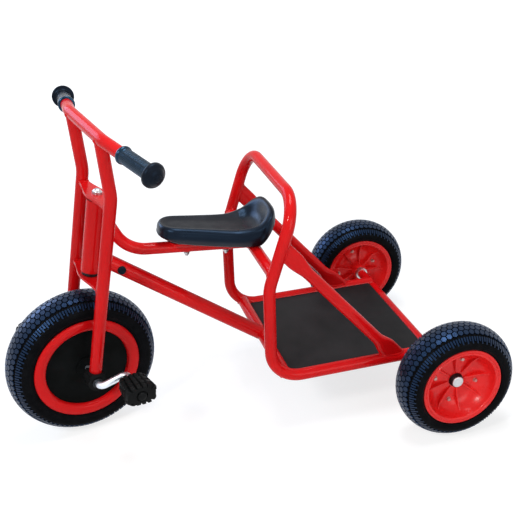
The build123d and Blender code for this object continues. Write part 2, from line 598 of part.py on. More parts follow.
HUB_R = 24.0
HUB_HALF = 38.0
parts["front_hub"] = turned_ring(FRONT_WHEEL, [(-HUB_HALF, HUB_HALF, CRANK_R + SEAT_FIT, HUB_R)])
parts["front_discs"] = turned_ring(FRONT_WHEEL, [
    (-DISC_IN - DISC_THICK, -DISC_IN, HUB_R + SEAT_FIT, FRONT_RING_IN_R - SEAT_FIT),
    (DISC_IN, DISC_IN + DISC_THICK, HUB_R + SEAT_FIT, FRONT_RING_IN_R - SEAT_FIT)])

crank_x = CRANK_THROW * cos(radians(CRANK_ANGLE))
crank_z = CRANK_THROW * sin(radians(CRANK_ANGLE))
spindle_tip = PEDAL_IN + PEDAL_LONG + 4.5
crank_points = [fork_point(FORK_OFFSET + crank_x, spindle_tip, crank_z),
                fork_point(FORK_OFFSET + crank_x, CRANK_Y, crank_z),
                fork_point(FORK_OFFSET, CRANK_Y, 0),
                fork_point(FORK_OFFSET, -CRANK_Y, 0),
                fork_point(FORK_OFFSET - crank_x, -CRANK_Y, -crank_z),
                fork_point(FORK_OFFSET - crank_x, -spindle_tip, -crank_z)]
with BuildPart() as crankshaft:
    add(rod(crank_points, CRANK_R, CRANK_BEND))
    for side in (-1, 1):
        pedal_line = fork_point(FORK_OFFSET + side * crank_x, side * spindle_tip, side * crank_z)
        with BuildSketch(Plane(origin=pedal_line, x_dir=FORK.x_dir, z_dir=FORK.y_dir * -side)):
            Circle(SPINDLE_HEAD_R)
        extrude(amount=4)
parts["crankshaft"] = crankshaft

for side, name in ((1, "left_bearing_housing"), (-1, "right_bearing_housing")):
    housing_plane = Plane(origin=fork_point(FORK_OFFSET, side * BLADE_Y - HOUSING_HALF, 0),
                          x_dir=FORK.z_dir, z_dir=FORK.y_dir)
    with BuildPart() as housing:
        with BuildSketch(housing_plane):
            Circle(HOUSING_R)
            with Locations((BLADE_FOOT / 2 - SEAT_FIT / 2, 0)):
                Rectangle(BLADE_FOOT - SEAT_FIT, 2 * HOUSING_R - 6)
            Circle(CRANK_R + RUN_FIT, mode=Mode.SUBTRACT)
        extrude(amount=2 * HOUSING_HALF)
    parts[name] = housing

# ------------------------------------------------------------------ pedals
PEDAL_WIDE = 66.0
PEDAL_THICK = 34.0
TREAD_COUNT = 5              # grooves along each face of a pedal
TREAD_DEPTH = 3.0
TREAD_PITCH = 9.6
PEDAL_ROUND = 8.0
PEDAL_TILT = 9.0             # degrees, back end down in the stored pose
pedal_level = Vector(cos(radians(PEDAL_TILT)), 0, sin(radians(PEDAL_TILT)))
for side, name in ((1, "left_pedal"), (-1, "right_pedal")):
    pedal_plane = Plane(origin=fork_point(FORK_OFFSET + side * crank_x, side * PEDAL_IN, side * crank_z),
                        x_dir=pedal_level, z_dir=FORK.y_dir * side)
    with BuildPart() as pedal:
        with BuildSketch(pedal_plane):
            RectangleRounded(PEDAL_WIDE, PEDAL_THICK, PEDAL_ROUND)
            for face in (-1, 1):
                with Locations((0, face * PEDAL_THICK / 2)):
                    with GridLocations(TREAD_PITCH, 0, TREAD_COUNT, 1):
                        RegularPolygon(TREAD_DEPTH, 4, rotation=45, mode=Mode.SUBTRACT)
            Circle(CRANK_R + RUN_FIT, mode=Mode.SUBTRACT)
        extrude(amount=PEDAL_LONG)
    parts[name] = pedal

# ------------------------------------------------------------------ rear wheels
BOLT_ANGLES = {1: 16.5, -1: 76.5}    # first pocket of each rim, in the stored pose
POCKET_IN_R = 26.0
POCKET_ROUND = 5.0
half_step = radians(180 / RIB_COUNT)
dish_slope = degrees(atan2(DISH_R - DISH_FOOT_R, REAR_LIP_OUT - LIP_THICK - WEB_HALF))


def rib_side(along):
    """Point on the side of a rib, this far from the axle along the rib."""
    return Vector(along * cos(half_step) + RIB_WIDE / 2 * sin(half_step),
                  along * sin(half_step) - RIB_WIDE / 2 * cos(half_step))


with BuildSketch() as pocket:
    near = rib_side(POCKET_IN_R)
    far = rib_side(DISH_R)
    with BuildLine():
        Polyline((far.X, -far.Y), (near.X, -near.Y), (near.X, near.Y), (far.X, far.Y))
        ThreePointArc((far.X, far.Y), (far.length, 0), (far.X, -far.Y))
    make_face()
    fillet(pocket.vertices(), POCKET_ROUND)

for side, name in ((1, "left"), (-1, "right")):
    plane = rear_wheel_plane(side)
    parts[name + "_rear_tyre"] = tyre(plane, REAR_TYRE_R, REAR_TYRE_W, REAR_LIP_R, REAR_LIP_OUT)
    seat_r = REAR_LIP_R - SEAT_DEPTH - SEAT_FIT
    lip_in = REAR_LIP_OUT - LIP_THICK
    lip_curve = 0.3 * LIP_THICK
    with BuildPart() as rim:
        with BuildSketch(plane):
            with BuildLine():
                Line((-lip_in, seat_r), (lip_in, seat_r))
                for face in (-1, 1):
                    Polyline((face * lip_in, seat_r), (face * lip_in, REAR_LIP_R),
                             (face * (REAR_LIP_OUT - 1), REAR_LIP_R), (face * REAR_LIP_OUT, REAR_LIP_R - 1),
                             (face * REAR_LIP_OUT, REAR_BAND_IN_R + LIP_THICK))
                    ThreePointArc((face * REAR_LIP_OUT, REAR_BAND_IN_R + LIP_THICK),
                                  (face * (REAR_LIP_OUT - lip_curve), REAR_BAND_IN_R + lip_curve),
                                  (face * (REAR_LIP_OUT - LIP_THICK), REAR_BAND_IN_R))
                Polyline((side * (REAR_LIP_OUT - LIP_THICK), REAR_BAND_IN_R),
                         (side * RIB_OUT_HIGH, RIB_OUT_END_R), (side * RIB_OUT_LOW, HUB_ROOT_R),
                         (side * HUB_OUT, HUB_ROOT_R - 2), (side * HUB_OUT, AXLE_ROD_R + RUN_FIT),
                         (-side * HUB_IN, AXLE_ROD_R + RUN_FIT), (-side * HUB_IN, REAR_HUB_R),
                         (-side * RIB_IN_HIGH, HUB_CONE_R), (-side * RIB_IN_LOW, DISH_R),
                         (-side * (REAR_LIP_OUT - LIP_THICK), REAR_BAND_IN_R))
            make_face()
        revolve(axis=Axis(plane.origin, plane.x_dir))
        for face in (-1, 1):
            web = Plane(origin=plane.origin + Vector(0, face * WEB_HALF, 0), x_dir=(1, 0, 0),
                        z_dir=(0, face, 0))
            with BuildPart(mode=Mode.SUBTRACT):
                with BuildSketch(web):
                    with PolarLocations(0, RIB_COUNT, start_angle=face * -BOLT_ANGLES[side]):
                        add(pocket.sketch)
                extrude(amount=HUB_IN)
                if face == side:
                    with BuildSketch(web):
                        Circle(DISH_FOOT_R)
                    extrude(amount=HUB_IN, taper=-dish_slope, mode=Mode.INTERSECT)
    parts[name + "_rear_rim"] = rim

# ------------------------------------------------------------------ export
os.makedirs("parts", exist_ok=True)
for label, piece in parts.items():
    piece.part.label = label
    export_step(piece.part, f"parts/{label}.step")

print("steer foot", tuple(steer_foot), "axis", tuple(axis_dir))
print("front wheel", tuple(FRONT_WHEEL.origin), "axle", tuple(axle_dir))
print("pedal", tuple(crank_points[1]), tuple(crank_points[-2]))
print("rear axle x", REAR_X)
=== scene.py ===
"""Looks of the children's tricycle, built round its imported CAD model. Metres, in the model's frame.

The CAD nodes of the tubes, plates, housings and axles keep their shapes and get materials. Meshes
with the moulded, forged or pressed forms replace the tyres, grips, crank, pedals, rims, saddle and
stays. Bolts, washers, caps, collars and weld beads are added. Sizes are in millimetres where a
name or a comment doesn't say otherwise.
"""

import json
from math import asin, cos, pi, radians, sin, sqrt, tan

import bmesh
import bpy
from mathutils import Matrix, Vector


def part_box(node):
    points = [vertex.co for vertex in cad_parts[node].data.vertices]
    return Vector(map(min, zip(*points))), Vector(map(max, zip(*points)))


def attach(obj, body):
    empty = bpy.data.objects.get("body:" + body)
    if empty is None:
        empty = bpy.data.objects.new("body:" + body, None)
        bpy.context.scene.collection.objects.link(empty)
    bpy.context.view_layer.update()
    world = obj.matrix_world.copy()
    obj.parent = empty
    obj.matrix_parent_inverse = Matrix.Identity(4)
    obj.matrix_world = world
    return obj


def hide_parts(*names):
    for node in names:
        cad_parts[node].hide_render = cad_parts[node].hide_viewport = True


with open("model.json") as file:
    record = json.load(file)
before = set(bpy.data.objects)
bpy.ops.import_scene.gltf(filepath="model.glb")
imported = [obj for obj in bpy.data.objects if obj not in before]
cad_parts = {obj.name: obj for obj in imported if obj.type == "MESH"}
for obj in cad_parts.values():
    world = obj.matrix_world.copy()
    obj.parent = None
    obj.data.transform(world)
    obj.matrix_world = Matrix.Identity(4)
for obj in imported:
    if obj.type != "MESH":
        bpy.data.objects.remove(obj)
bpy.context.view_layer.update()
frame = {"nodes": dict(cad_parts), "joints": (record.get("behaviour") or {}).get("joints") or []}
scene = bpy.context.scene
nodes = frame["nodes"]
joints = {joint["name"]: joint for joint in frame["joints"]}
MM = 0.001

low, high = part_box("rear_axle_tube")
REAR_X = (low.x + high.x) / 2 / MM  # rear axle, the place that frame sizes start from
AXLE_Z = (low.z + high.z) / 2 / MM
SIDES = ((1, "left"), (-1, "right"))


def frame_point(x, y, z):
    """Point in metres from millimetres ahead of the rear axle, left of the middle and up."""
    return Vector((REAR_X + x, y, z)) * MM


def joint_line(name):
    """Point and direction of a joint's axis."""
    return Vector(joints[name]["pos_m"]), Vector(joints[name]["axis"])


# --- materials
class Nodes:
    """Small helper that adds and links the nodes of one world or material."""

    def __init__(self, owner):
        owner.use_nodes = True
        self.tree = owner.node_tree
        self.tree.nodes.clear()

    def new(self, kind, **values):
        node = self.tree.nodes.new(kind)
        for key, value in values.items():
            setattr(node, key, value)
        return node

    def link(self, source, target):
        self.tree.links.new(source, target)

    def math(self, operation, a, b):
        node = self.new("ShaderNodeMath", operation=operation)
        for slot, value in enumerate((a, b)):
            if isinstance(value, (int, float)):
                node.inputs[slot].default_value = value
            else:
                self.link(value, node.inputs[slot])
        return node.outputs[0]

    def seen(self):
        """1 for rays that show the backdrop: seen straight, mirrored or through a clear piece."""
        rays = self.new("ShaderNodeLightPath").outputs
        straight = self.math("MAXIMUM", rays["Is Camera Ray"], rays["Is Glossy Ray"])
        return self.math("MAXIMUM", straight, rays["Is Transmission Ray"])

    def mix(self, other, shown, output):
        """Shows one shader to the rays of seen() and another to the rest."""
        node = self.new("ShaderNodeMixShader")
        for slot, source in enumerate((self.seen(), other, shown)):
            self.link(source, node.inputs[slot])
        self.link(node.outputs[0], output.inputs["Surface"])


class Material(Nodes):
    """Nodes of a new material with one principled shader."""

    def __init__(self, name):
        self.material = bpy.data.materials.new(name)
        super().__init__(self.material)
        self.out = self.new("ShaderNodeOutputMaterial")
        self.shader = self.new("ShaderNodeBsdfPrincipled")
        self.link(self.shader.outputs[0], self.out.inputs["Surface"])
        self.place = self.new("ShaderNodeTexCoord").outputs["Object"]

    def noise(self, scale, detail=3.0, rough=0.5, stretch=None):
        node = self.new("ShaderNodeTexNoise")
        node.inputs["Scale"].default_value = scale
        node.inputs["Detail"].default_value = detail
        node.inputs["Roughness"].default_value = rough
        source = self.place
        if stretch:
            mapping = self.new("ShaderNodeMapping")
            mapping.inputs["Scale"].default_value = stretch
            self.link(self.place, mapping.inputs["Vector"])
            source = mapping.outputs[0]
        self.link(source, node.inputs["Vector"])
        return node.outputs[0]

    def cells(self, scale):
        node = self.new("ShaderNodeTexVoronoi")
        node.inputs["Scale"].default_value = scale
        self.link(self.place, node.inputs["Vector"])
        return node.outputs[0]

    def ramp(self, source, stops):
        """Colour ramp through (position, colour) stops; a colour of one number is a grey."""
        node = self.new("ShaderNodeValToRGB")
        elements = node.color_ramp.elements
        while len(elements) < len(stops):
            elements.new(0.5)
        for element, (at, colour) in zip(elements, stops):
            element.position = at
            element.color = (*colour, 1) if len(colour) == 3 else (*colour * 3, 1)
        self.link(source, node.inputs[0])
        return node.outputs[0]

    def span(self, source, lowest, highest, start=0.3, end=0.7):
        """Stretches what lies between start and end to lowest and highest."""
        node = self.new("ShaderNodeMapRange")
        for key, value in (("From Min", start), ("From Max", end), ("To Min", lowest),
                           ("To Max", highest)):
            node.inputs[key].default_value = value
        self.link(source, node.inputs["Value"])
        return node.outputs[0]

    def bump(self, source, strength, distance):
        node = self.new("ShaderNodeBump")
        node.inputs["Strength"].default_value = strength
        node.inputs["Distance"].default_value = distance
        self.link(source, node.inputs["Height"])
        self.link(node.outputs[0], self.shader.inputs["Normal"])

    def colour(self, source):
        self.link(source, self.shader.inputs["Base Color"])

    def rough(self, source):
        self.link(source, self.shader.inputs["Roughness"])

    def fixed(self, **values):
        """Sets the shader's own sockets, named with _ for each space."""
        for key, value in values.items():
            self.shader.inputs[key.replace("_", " ")].default_value = value


def surface(name, tone, stops, wear, shine, grain, distance=0.0002, **levels):
    """Material whose shade, roughness and bumps each vary with a noise of their own.

    tone and wear are the first two noises, stops the shades and shine the range of roughness.
    grain is the scale, detail and strength of the bumps, and distance their height in metres.
    """
    m = Material(name)
    m.colour(m.ramp(m.noise(*tone), stops))
    m.rough(m.span(m.noise(*wear), *shine))
    scale, detail, strength = grain
    m.bump(m.noise(scale, detail), strength, distance)
    m.fixed(**levels)
    return m.material


def tyre_rubber(name, dark, light, spec, tint):
    """Black tyre rubber with mould bloom and fine dust in its grain."""
    m = Material(name)
    m.colour(m.ramp(m.noise(55, 5, 0.65), [(0.35, dark), (0.75, light)]))
    m.rough(m.span(m.noise(120, 4), 0.28, 0.42))
    m.bump(m.math("ADD", m.noise(900, 3), m.math("MULTIPLY", m.noise(160, 2), 0.5)), 0.25, 0.0004)
    # The bluish specular tint is painted sheen: it tints the rubber's reflections blue in place of
    # blue sky light.
    m.fixed(Specular_IOR_Level=spec, Specular_Tint=tint)
    return m.material


def seat_plastic(name, dark, light, rough, grain, spec):
    """Soft black saddle moulding with a fine leather-like grain."""
    m = Material(name)
    m.colour(m.ramp(m.noise(22, 4), [(0.3, dark), (0.75, light)]))
    m.rough(m.span(m.noise(60, 4), rough, rough + 0.12))
    m.bump(m.math("ADD", m.cells(820), m.noise(400, 3)), grain, 0.00025)
    # The bluish specular tint is painted sheen: it tints the reflections of the seat, knobs and
    # bumpers blue in place of blue sky light.
    m.fixed(Specular_IOR_Level=spec, Specular_Tint=(0.28, 0.56, 1.0, 1))
    return m.material


def deck_board():
    """Matt black faced board with rubbed patches and a few fine scratches."""
    m = Material("deck_board")
    rubbed = m.noise(11, 5, 0.6, stretch=(1, 0.6, 1))
    scratch = m.ramp(m.noise(26, 2, 0.5, stretch=(0.6, 14, 1)), [(0.70, (0,)), (0.78, (1,))])
    base = m.ramp(rubbed, [(0.3, (0.0085, 0.0082, 0.0088)), (0.75, (0.0240, 0.0215, 0.0225))])
    mix = m.new("ShaderNodeMix", data_type="RGBA")
    mix.inputs[7].default_value = (0.045, 0.044, 0.044, 1)
    m.link(m.math("MULTIPLY", scratch, 0.3), mix.inputs[0])
    m.link(base, mix.inputs[6])
    m.colour(mix.outputs[2])
    m.rough(m.span(rubbed, 0.36, 0.52))
    m.bump(m.noise(700, 3), 0.16, 0.0003)
    m.fixed(Specular_IOR_Level=0.05)
    return m.material


def plated(name, tint, lowest, highest):
    """Bright zinc or chrome plating with fine drawn lines and handling marks."""
    return surface(name, (75, 5, 0.6), [(0.3, tuple(c * 0.86 for c in tint)), (0.7, tint)],
                   (160, 4, 0.6), (lowest, highest), (900, 2, 0.08), Metallic=1.0)


RED = surface("red_powder_coat", (9, 4),
              [(0.3, (0.530, 0.0034, 0.0050)), (0.7, (0.630, 0.0062, 0.0072))],
              (38, 5, 0.6), (0.18, 0.32), (620, 2, 0.10), 0.0004, Specular_IOR_Level=0.03,
              Specular_Tint=(1.0, 0.38, 0.28, 1), Coat_Weight=0.22, Coat_Roughness=0.045)
RED_PLASTIC = surface("red_moulding", (14, 3),
                      [(0.3, (0.670, 0.0085, 0.0095)), (0.7, (0.770, 0.0140, 0.0130))],
                      (90, 4, 0.6), (0.24, 0.36), (1400, 2, 0.08),
                      Specular_IOR_Level=0.20, Coat_Weight=0.16, Coat_Roughness=0.15)
# Both tints are painted blue sheen, faint on the sidewalls and strong on the tread.
TYRE = tyre_rubber("tyre_rubber", (0.0030, 0.0031, 0.0036), (0.0068, 0.0070, 0.0080), 0.015,
                   (0.75, 0.87, 1.0, 1))
TREAD = tyre_rubber("tread_rubber", (0.0016, 0.0020, 0.0030), (0.0030, 0.0038, 0.0060), 0.65,
                    (0.18, 0.42, 1.0, 1))
# The bluish specular tint of the grips is painted sheen, in place of blue sky light.
RUBBER = surface("grip_rubber", (70, 4),
                 [(0.3, (0.0022, 0.0024, 0.0030)), (0.75, (0.0050, 0.0058, 0.0080))],
                 (150, 4), (0.16, 0.28), (1500, 2, 0.2),
                 Specular_IOR_Level=0.75, Specular_Tint=(0.18, 0.54, 1.0, 1))
# SEAT, KNOB and SEAT_TOP all carry that painted blue sheen.
SEAT = seat_plastic("seat_moulding", (0.0030, 0.0032, 0.0045), (0.0055, 0.0062, 0.0090),
                    0.26, 0.12, 0.26)
KNOB = seat_plastic("knob_rubber", (0.0040, 0.0044, 0.0060), (0.0080, 0.0092, 0.0130),
                    0.28, 0.1, 0.12)
# SEAT_TOP is the matte, grained pan; its grey, lighter than the rest of the seat, is painted light on
# the seat's top.
SEAT_TOP = seat_plastic("seat_pan", (0.017, 0.0165, 0.017), (0.026, 0.0255, 0.027),
                        0.46, 0.3, 0.12)
BLACK = surface("black_moulding", (30, 4),
                [(0.3, (0.0040, 0.0044, 0.0046)), (0.75, (0.0085, 0.0092, 0.0098))],
                (80, 5, 0.6), (0.32, 0.5), (1100, 3, 0.18), Specular_IOR_Level=0.06)
PANEL = surface("black_panel", (24, 4),
                [(0.3, (0.0030, 0.0036, 0.0034)), (0.75, (0.0065, 0.0075, 0.0080))],
                (50, 5, 0.6), (0.42, 0.6), (900, 3, 0.12), Specular_IOR_Level=0.02)
BOARD = deck_board()
ZINC = plated("zinc_plate", (0.58, 0.59, 0.61), 0.26, 0.42)
# CHROME's bluish tint is painted reflection of blue sky light in the plating.
CHROME = plated("bright_plate", (0.80, 0.87, 0.96), 0.34, 0.44)
# BOLT_STEEL's reddish tint is painted reflection of the red rim round the bolts; the plating's
# dullness is its roughness.
BOLT_STEEL = plated("dull_bolt_plate_red_reflection", (0.50, 0.30, 0.28), 0.34, 0.5)
DARK_STEEL = plated("blackened_steel", (0.035, 0.037, 0.042), 0.35, 0.5)

NODE_MATERIALS = {
    RED: ["platform_hoop", "platform_front_tube", "platform_tabs", "rear_axle_tube", "head_tube",
          "down_tube", "top_tube", "seat_support_tube", "seat_bracket", "left_fork_blade",
          "right_fork_blade", "upper_crown_plate", "lower_crown_plate", "handlebar"],
    PANEL: ["front_discs", "front_hub"],
    BLACK: ["left_bearing_housing", "right_bearing_housing"],
    DARK_STEEL: ["head_bushings"],
    KNOB: ["steering_bumpers"],
    BOARD: ["platform_plate"],
    ZINC: ["rear_axle", "steering_spindle"],
}
for material, names in NODE_MATERIALS.items():
    for name in names:
        mesh = nodes[name].data
        mesh.materials.clear()
        mesh.materials.append(material)


# --- mesh helpers
def add_piece(name, bm, body, materials, replaces=(), angle=40):
    """Turns a bmesh into a named piece on a body, smooth up to an angle between faces."""
    bmesh.ops.recalc_face_normals(bm, faces=bm.faces)
    mesh = bpy.data.meshes.new(name)
    bm.to_mesh(mesh)
    bm.free()
    for material in materials:
        mesh.materials.append(material)
    piece = bpy.data.objects.new(name, mesh)
    scene.collection.objects.link(piece)
    mesh.polygons.foreach_set("use_smooth", [True] * len(mesh.polygons))
    mesh.set_sharp_from_angle(angle=radians(angle))
    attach(piece, body)
    if replaces:
        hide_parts(*replaces)


def frame_at(origin, x, y, z, unit=MM):
    """Matrix from local millimetres along three directions to the model's metres."""
    matrix = Matrix((x, y, z)).transposed().to_4x4()
    matrix.translation = origin
    return matrix @ Matrix.Scale(unit, 4)


def basis(origin, along, up=Vector((0, 0, 1))):
    """Matrix from local millimetres, whose X runs along the given direction."""
    x = along.normalized()
    z = (up - x * up.dot(x)).normalized()
    return frame_at(origin, x, z.cross(x), z)


def spin(bm, matrix, section, steps, wave=None):
    """Surface turned about local X from a closed or axis-to-axis section of (x, r) points.

    wave gives what is added to the radius at a point's x, r and angle.
    """
    rings = []
    for x, r in section:
        if r < 1e-7:
            rings.append([bm.verts.new(matrix @ Vector((x, 0, 0)))])
            continue
        ring = []
        for step in range(steps):
            angle = 2 * pi * step / steps
            radius = r + (wave(x, r, angle) if wave else 0)
            place = Vector((x, radius * cos(angle), radius * sin(angle)))
            ring.append(bm.verts.new(matrix @ place))
        rings.append(ring)
    closed = len(rings[0]) > 1 and len(rings[-1]) > 1
    pairs = list(zip(rings, rings[1:])) + ([(rings[-1], rings[0])] if closed else [])
    for a, b in pairs:
        for step in range(steps):
            after = (step + 1) % steps
            corners = [a[step % len(a)], a[after % len(a)], b[after % len(b)], b[step % len(b)]]
            unique = list(dict.fromkeys(corners))
            if len(unique) > 2:
                bm.faces.new(unique)


def skin(bm, rings, closed=False, material=0):
    """Faces between rings of equally many points, and back to the first where they close."""
    made = [[bm.verts.new(point) for point in ring] for ring in rings]
    count = len(made[0])
    for a, b in zip(made, made[1:] + (made[:1] if closed else [])):
        for i in range(count):
            j = (i + 1) % count
            bm.faces.new((a[i], a[j], b[j], b[i])).material_index = material
    return made


def prism(bm, rings, material=0):
    """Closed solid through rings of equally many points, capped at both ends."""
    made = skin(bm, rings, material=material)
    bm.faces.new(made[0][::-1]).material_index = material
    bm.faces.new(made[-1]).material_index = material


def smooth_step(value, start, end):
    """0 up to start, 1 from end on, and a smooth rise between them."""
    t = min(1, max(0, (value - start) / (end - start)))
    return t * t * (3 - 2 * t)


# --- tyres
FRONT_TYRE = (165.0, 91.0, 116.5, 41.8)  # radius, width, radius of the rim's lip, lip's plane
REAR_TYRE = (130.0, 90.0, 89.0, 39.4)
CROWN_R = 53.0
CROWN_HALF = radians(50)
BEAD_LIFT = 0.6
BEAD_SEAT = 8.0  # tyre's foot below the edge of the rim's lip
LIP_THICK = 2.6
TREAD_DEPTH = 3.4
WALL_DEPTH = 0.9  # sidewall below the tyre's full outline
RING_DEPTH = 0.2  # moulded rings of the sidewall
RINGS_AT = (4.5, 9.5)  # up from the bead
RING_HALF = 1.1
TREAD_PITCH = 13.2
BLOCK_HALF = 5.85  # hexagonal tread block: half width round the tyre
BLOCK_LONG = 6.9  # half length across it
BLOCK_ROWS = range(-2, 3)
ROW_STEP = 11.6
BLOCK_TAPER = ((-TREAD_DEPTH - 0.3, 1.0), (-0.7, 0.97), (-0.05, 0.89))  # (height, share of size)
LUG_START = 33.0  # shoulder lugs, measured across the tread
LUG_END = 50.0
LUG_SHORT = 5.0  # by which every other lug ends sooner
LUG_POINT = 1.6
LUG_HALF = (2.5, 1.9)  # half width at its inner and outer end
TYRE_SAMPLES = 76


class TyreSection:
    """Outer curve of a tyre's section: crown, shoulder and lower wall, each a round arc.

    A place on it is the distance along it from the middle of the tread.
    """

    def __init__(self, radius, width, lip_r, lip_out):
        wide_x = width / 2
        shoulder_x = CROWN_R * sin(CROWN_HALF)
        shoulder_r = radius - CROWN_R * (1 - cos(CROWN_HALF))
        wall_r = (wide_x - shoulder_x) / (1 - sin(CROWN_HALF))
        wide_r = shoulder_r - wall_r * cos(CROWN_HALF)
        self.bead_x = lip_out - LIP_THICK
        self.seat_r = lip_r - BEAD_SEAT
        drop = wide_r - lip_r - BEAD_LIFT
        inset = wide_x - self.bead_x
        low_r = (inset**2 + drop**2) / (2 * inset)
        crown_long = CROWN_R * CROWN_HALF
        wall_long = crown_long + wall_r * (pi / 2 - CROWN_HALF)
        self.whole = wall_long + low_r * asin(min(1, drop / low_r))
        # Distance and angle where each arc starts, its centre and its radius.
        self.arcs = [(0, 0, 0, radius - CROWN_R, CROWN_R),
                     (crown_long, CROWN_HALF, wide_x - wall_r, wide_r, wall_r),
                     (wall_long, pi / 2, wide_x - low_r, wide_r, low_r)]

    def point(self, s, lift):
        """(x, r) at a signed distance across the tread, raised along the normal."""
        start, turn, x, r, arc_r = [arc for arc in self.arcs if arc[0] <= abs(s)][-1]
        angle = turn + (abs(s) - start) / arc_r
        side = -1 if s < 0 else 1
        return side * (x + (arc_r + lift) * sin(angle)), r + (arc_r + lift) * cos(angle)


def tyre_relief(section, s):
    """Lift of the carcass, which lies below the tyre's full outline."""
    s = abs(s)
    if s < LUG_END + 2:
        rise = smooth_step(s, LUG_END - 7, LUG_END + 2)
        return -TREAD_DEPTH + (TREAD_DEPTH - WALL_DEPTH) * rise
    from_bead = section.whole - s
    ring = any(abs(from_bead - at) < RING_HALF for at in RINGS_AT)
    return -RING_DEPTH if ring or from_bead < 1.2 else -WALL_DEPTH


def make_tyre(tyre, body, sizes):
    """Tyre with rows of hexagonal blocks and, on each shoulder, long and short pointed lugs."""
    radius = sizes[0]
    section = TyreSection(*sizes)
    place = basis(*joint_line(f"{body}_spin"))
    bm = bmesh.new()
    outline = []
    for i in range(TYRE_SAMPLES + 1):
        s = section.whole * (2 * i / TYRE_SAMPLES - 1)
        outline.append(section.point(s, tyre_relief(section, s)))
    outline += [(section.bead_x, section.seat_r), (-section.bead_x, section.seat_r)]
    count = round(2 * pi * radius / TREAD_PITCH)
    spin(bm, place, outline, 2 * count)

    def raised(turn, s, lift):
        x, r = section.point(s, lift)
        return place @ Vector((x, r * cos(turn), r * sin(turn)))

    def block(turn, s, outline_points):
        prism(bm, [[raised(turn + c * size / radius, s + across * size, lift)
                    for c, across in outline_points] for lift, size in BLOCK_TAPER], 1)

    hexagon = [(c * BLOCK_HALF, across * BLOCK_LONG) for c, across in
               ((0, 1), (1, 0.5), (1, -0.5), (0, -1), (-1, -0.5), (-1, 0.5))]
    for row in BLOCK_ROWS:
        for i in range(count):
            turn = 2 * pi * (i + 0.5 * (row % 2)) / count
            block(turn, row * ROW_STEP, hexagon)
    half = (LUG_END - LUG_START) / 2
    for side in (-1, 1):
        for i in range(2 * count):
            turn = pi * (i + 0.5) / count
            inner, outer = -half + LUG_POINT, half - (LUG_SHORT if i % 2 else 0.0)
            wide, narrow = LUG_HALF
            lug = [(0, -half), (wide, inner), (narrow, outer), (-narrow, outer), (-wide, inner)]
            block(turn, side * (LUG_START + half),
                  [(c, side * across) for c, across in lug][::side])
    add_piece(f"{tyre}_tread", bm, body, [TYRE, TREAD], replaces=[tyre])


make_tyre("front_tyre", "front_wheel", FRONT_TYRE)
for _, name in SIDES:
    make_tyre(f"{name}_rear_tyre", f"{name}_rear_wheel", REAR_TYRE)


# --- fork frame and grips
STEER_FOOT, STEER_UP = joint_line("steering")
STEER_UP.normalize()
AXLE_LEFT = joint_line("front_wheel_spin")[1].normalized()
FORK_AHEAD = AXLE_LEFT.cross(STEER_UP)


def fork_point(x, y, z):
    """Point in metres from millimetres ahead, left and up in the turned fork's frame."""
    return STEER_FOOT + (FORK_AHEAD * x + AXLE_LEFT * y + STEER_UP * z) * MM


def head_point(z):
    """Point in metres on the steering axis, this many millimetres above its foot."""
    return STEER_FOOT + STEER_UP * z * MM


FORK_OFFSET = 3.0
BLADE_Y = 83.8
BLADE_R = 13.0
CROWN_THICK = 5.0
LOWER_CROWN_Z = 205.0  # top of the lower crown plate
UPPER_CROWN_Z = 378.5  # underside of the upper crown plate
BLADE_KINK = UPPER_CROWN_Z + 26.5
BAR_R = 12.7
BAR_X = 35.0
BAR_Z = UPPER_CROWN_Z + 146.5
BAR_BEND_Y = 97.0
BAR_HALF = 260.0
BAR_SWEEP = radians(13.2)
BAR_DROP = radians(4.5)
GRIP_R = 15.5
GRIP_LONG = 108.0
GRIP_PAST_BAR = 7.0
BARREL = (20.5, GRIP_LONG - 9.5)  # ribbed part of the grip, from its outer end
RIBS = 32
RIB_DEPTH = 0.9
BEAD_PITCH = 5.2
GRIP_BORE = BAR_R + 0.25
GRIP_KNOB = [(-3.5, 0), (-3.5, 4.8), (-2.9, 6.2), (-1.4, 7.0), (-1.6, 8.6), (-0.6, 11.4),
             (1.2, 14.4), (3.6, 17.4), (4.6, 17.9), (5.6, 20.0), (8.0, 22.4), (10.6, 23.7),
             (12.6, 23.9), (15.3, 23.9), (15.9, 23.2), (16.3, 20.5), (17.2, 17.6), (19.0, 15.9)]
GRIP_FLANGE = [(GRIP_LONG - back, r) for back, r in
               ((8.4, 15.4), (7.2, 16.9), (5.0, 17.8), (2.4, 17.8), (0.7, 17.0), (0.1, 15.4),
                (0.1, GRIP_BORE))]
GRIP_HOLE = [(GRIP_PAST_BAR - 0.6, GRIP_BORE), (GRIP_PAST_BAR - 0.6, 0)]
GRIP_STATIONS = 56


